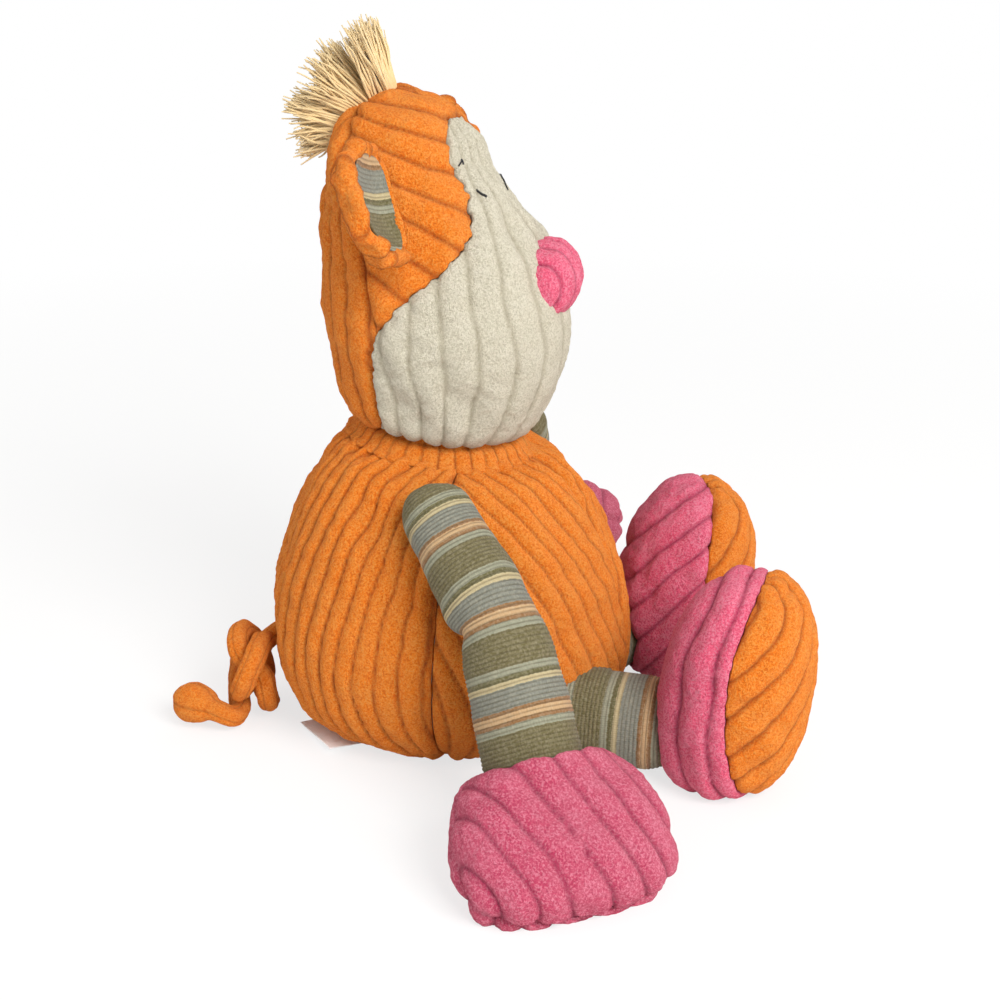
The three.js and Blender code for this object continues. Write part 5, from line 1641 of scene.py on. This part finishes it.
LABEL_BEARING, LABEL_SLOPE = math.radians(226), 0.9 * math.tan(math.radians(5))
LABEL_WIDTH, LABEL_LENGTH, LABEL_SEWN = 29, 24, 6  # the last is what the seam takes in


class MONKEY_OT_label(bpy.types.Operator):
    """Sews in the bare label"""

    bl_idname = "monkey.label"
    bl_label = "Label"

    def execute(self, context):
        out = np.array([math.cos(LABEL_BEARING), math.sin(LABEL_BEARING), 0])
        along = np.array([-math.sin(LABEL_BEARING), math.cos(LABEL_BEARING), 0])
        rows, columns, half = 40, 46, LABEL_WIDTH / 2
        out_to = np.linspace(-LABEL_SEWN, LABEL_LENGTH - LABEL_SEWN, rows)
        over = np.linspace(-half, half, columns)
        a, b = (grid.ravel() for grid in np.meshgrid(out_to, over, indexing="ij"))
        middle = out * (51 + a)[:, None] + along * b[:, None]
        middle[:, 2] = 0.75 + (a + LABEL_SEWN) * LABEL_SLOPE + 0.5 * np.sin(b / 6.5) * ease(a, 0, 18)
        i, j = np.meshgrid(np.arange(rows - 1), np.arange(columns - 1), indexing="ij")
        k = (i * columns + j).ravel()
        tris = np.concatenate([
            np.stack([k, k + columns, k + columns + 1], 1), np.stack([k, k + columns + 1, k + 1], 1)])
        up = np.array([0, 0, 0.16])
        points, tris = backed(middle + up, middle - up, tris)
        satin = plain_cloth("white_satin_ribbon", "#ffffff", "#f3f1ee", 2200.0, 0.45, 0.3)
        piece = made_piece("bare_label", points, tris, None, satin)
        seated(piece, "torso", "label", "seam_label")
        return {"FINISHED"}


WHITE = (1.0, 1.0, 1.0, 1.0)
FLOOR_REACH = 6.0  # metres each way
ROOM_LIGHT = 0.55
LIT_PLACE = Vector((0, 0, 0.13))
CAMERA_AZIMUTH, CAMERA_ELEVATION = math.radians(15), math.radians(21)
CAMERA_DISTANCE, CAMERA_ASIDE, CAMERA_RAISED = 784, 20.16, 90.5


def plain_sight(tree):
    """1 for a ray that shows the thing itself or its mirror image, and 0 for one that carries light."""
    rays = add(tree, "ShaderNodeLightPath").outputs
    shown = rays["Is Camera Ray"]
    for other in ("Is Glossy Ray", "Is Transmission Ray"):
        shown = add(tree, "ShaderNodeMath", {0: shown, 1: rays[other]}, operation="MAXIMUM").outputs[0]
    return shown


class MONKEY_OT_stage(bpy.types.Operator):
    """Lays the floor and sets the lights and the camera"""

    bl_idname = "monkey.stage"
    bl_label = "Stage, lights and camera"

    def execute(self, context):
        scene, stage = context.scene, context.scene.monkey_stage
        scene.view_settings.view_transform = "Standard"
        corners = [(x * FLOOR_REACH, y * FLOOR_REACH, 0) for x, y in ((-1, -1), (1, -1), (1, 1), (-1, 1))]
        mesh = bpy.data.meshes.new("paper_floor")
        mesh.from_pydata(corners, [], [(0, 1, 2, 3)])
        floor = linked("paper_floor", mesh)
        # Matt paper, which takes the toy's shadow and fades to plain white away from it
        material, tree, place = fresh_material("white_studio_paper")
        away = add(tree, "ShaderNodeVectorMath", {0: place}, operation="LENGTH").outputs["Value"]
        fade = add(tree, "ShaderNodeMapRange", {
            "Value": away, "From Min": 0.25, "From Max": 0.9, "To Min": 0.72, "To Max": 1.0,
        })
        share = add(tree, "ShaderNodeMath", {
            0: plain_sight(tree), 1: fade.outputs["Result"],
        }, operation="MULTIPLY").outputs[0]
        paper = add(tree, "ShaderNodeBsdfDiffuse", {"Color": linear(hex_of(stage.floor))})
        white = add(tree, "ShaderNodeEmission", {"Color": WHITE, "Strength": 1.0})
        mix = add(tree, "ShaderNodeMixShader", {0: share, 1: paper.outputs[0], 2: white.outputs[0]})
        add(tree, "ShaderNodeOutputMaterial", {"Surface": mix.outputs[0]})
        mesh.materials.append(material)

        world = bpy.data.worlds.new("white_room")
        world.use_nodes = True
        scene.world = world
        tree = world.node_tree
        tree.nodes.clear()
        room = add(tree, "ShaderNodeBackground", {"Color": WHITE, "Strength": ROOM_LIGHT})
        view = add(tree, "ShaderNodeBackground", {"Color": WHITE, "Strength": 1.0})
        mix = add(tree, "ShaderNodeMixShader", {0: plain_sight(tree), 1: room.outputs[0], 2: view.outputs[0]})
        add(tree, "ShaderNodeOutputWorld", {"Surface": mix.outputs[0]})

        for name, place, power, width in (
            ("key_light", (0.85, -0.8, 0.95), stage.key, 0.7),
            ("fill_light", (-0.95, -0.55, 0.75), stage.fill, 0.9),
            ("back_light", (0.2, 1.0, 0.9), 0.5 * stage.fill, 0.9),
        ):
            lamp = bpy.data.lights.new(name, "AREA")
            lamp.energy, lamp.size = power, width
            light = linked(name, lamp)
            light.location = place
            light.rotation_euler = (LIT_PLACE - Vector(place)).to_track_quat("-Z", "Y").to_euler()

        azimuth, elevation = CAMERA_AZIMUTH, CAMERA_ELEVATION
        level = math.cos(elevation)
        back = Vector((math.sin(azimuth) * level, -math.cos(azimuth) * level, math.sin(elevation)))
        right = Vector((math.cos(azimuth), math.sin(azimuth), 0))
        up = back.cross(right)
        eye = bpy.data.cameras.new("camera")
        eye.lens, eye.sensor_width, eye.clip_start = 63, 36, 0.01
        camera = linked("camera", eye)
        camera.location = (back * CAMERA_DISTANCE + right * CAMERA_ASIDE + up * CAMERA_RAISED) * MM
        camera.rotation_mode = "QUATERNION"
        camera.rotation_quaternion = Matrix((right, up, back)).transposed().to_quaternion()
        scene.camera = camera
        return {"FINISHED"}


STEPS = (
    MONKEY_OT_stage, MONKEY_OT_body, MONKEY_OT_filling, MONKEY_OT_neck, MONKEY_OT_head, MONKEY_OT_nose,
    MONKEY_OT_eyes, MONKEY_OT_hair, MONKEY_OT_ears, MONKEY_OT_sleeves, MONKEY_OT_mitts, MONKEY_OT_legs,
    MONKEY_OT_feet, MONKEY_OT_tail, MONKEY_OT_label,
)


class MONKEY_PT_panel(bpy.types.Panel):
    """Lists the sizes and colours, and the steps that sew the toy"""

    bl_label = "Plush Monkey"
    bl_idname = "MONKEY_PT_panel"
    bl_space_type = "VIEW_3D"
    bl_region_type = "UI"
    bl_category = "Plush Monkey"

    def draw(self, context):
        for group in SETTINGS:
            settings = getattr(context.scene, group)
            box = self.layout.box()
            for name in settings.bl_rna.properties.keys():
                if name not in ("rna_type", "name"):
                    box.prop(settings, name)
        for step in STEPS:
            self.layout.operator(step.bl_idname)


SETTINGS = {
    "monkey_plush": PlushSettings, "monkey_knit": KnitSettings, "monkey_hair": HairSettings,
    "monkey_stage": StageSettings,
}


def register():
    for kind in (*SETTINGS.values(), *STEPS, MONKEY_PT_panel):
        bpy.utils.register_class(kind)
    for name, kind in SETTINGS.items():
        setattr(bpy.types.Scene, name, PointerProperty(type=kind))


def unregister():
    for name in SETTINGS:
        delattr(bpy.types.Scene, name)
    for kind in reversed((*SETTINGS.values(), *STEPS, MONKEY_PT_panel)):
        bpy.utils.unregister_class(kind)


def main():
    register()
    for step in STEPS:
        group, name = step.bl_idname.split(".")
        getattr(getattr(bpy.ops, group), name)()


if __name__ == "__main__":
    main()
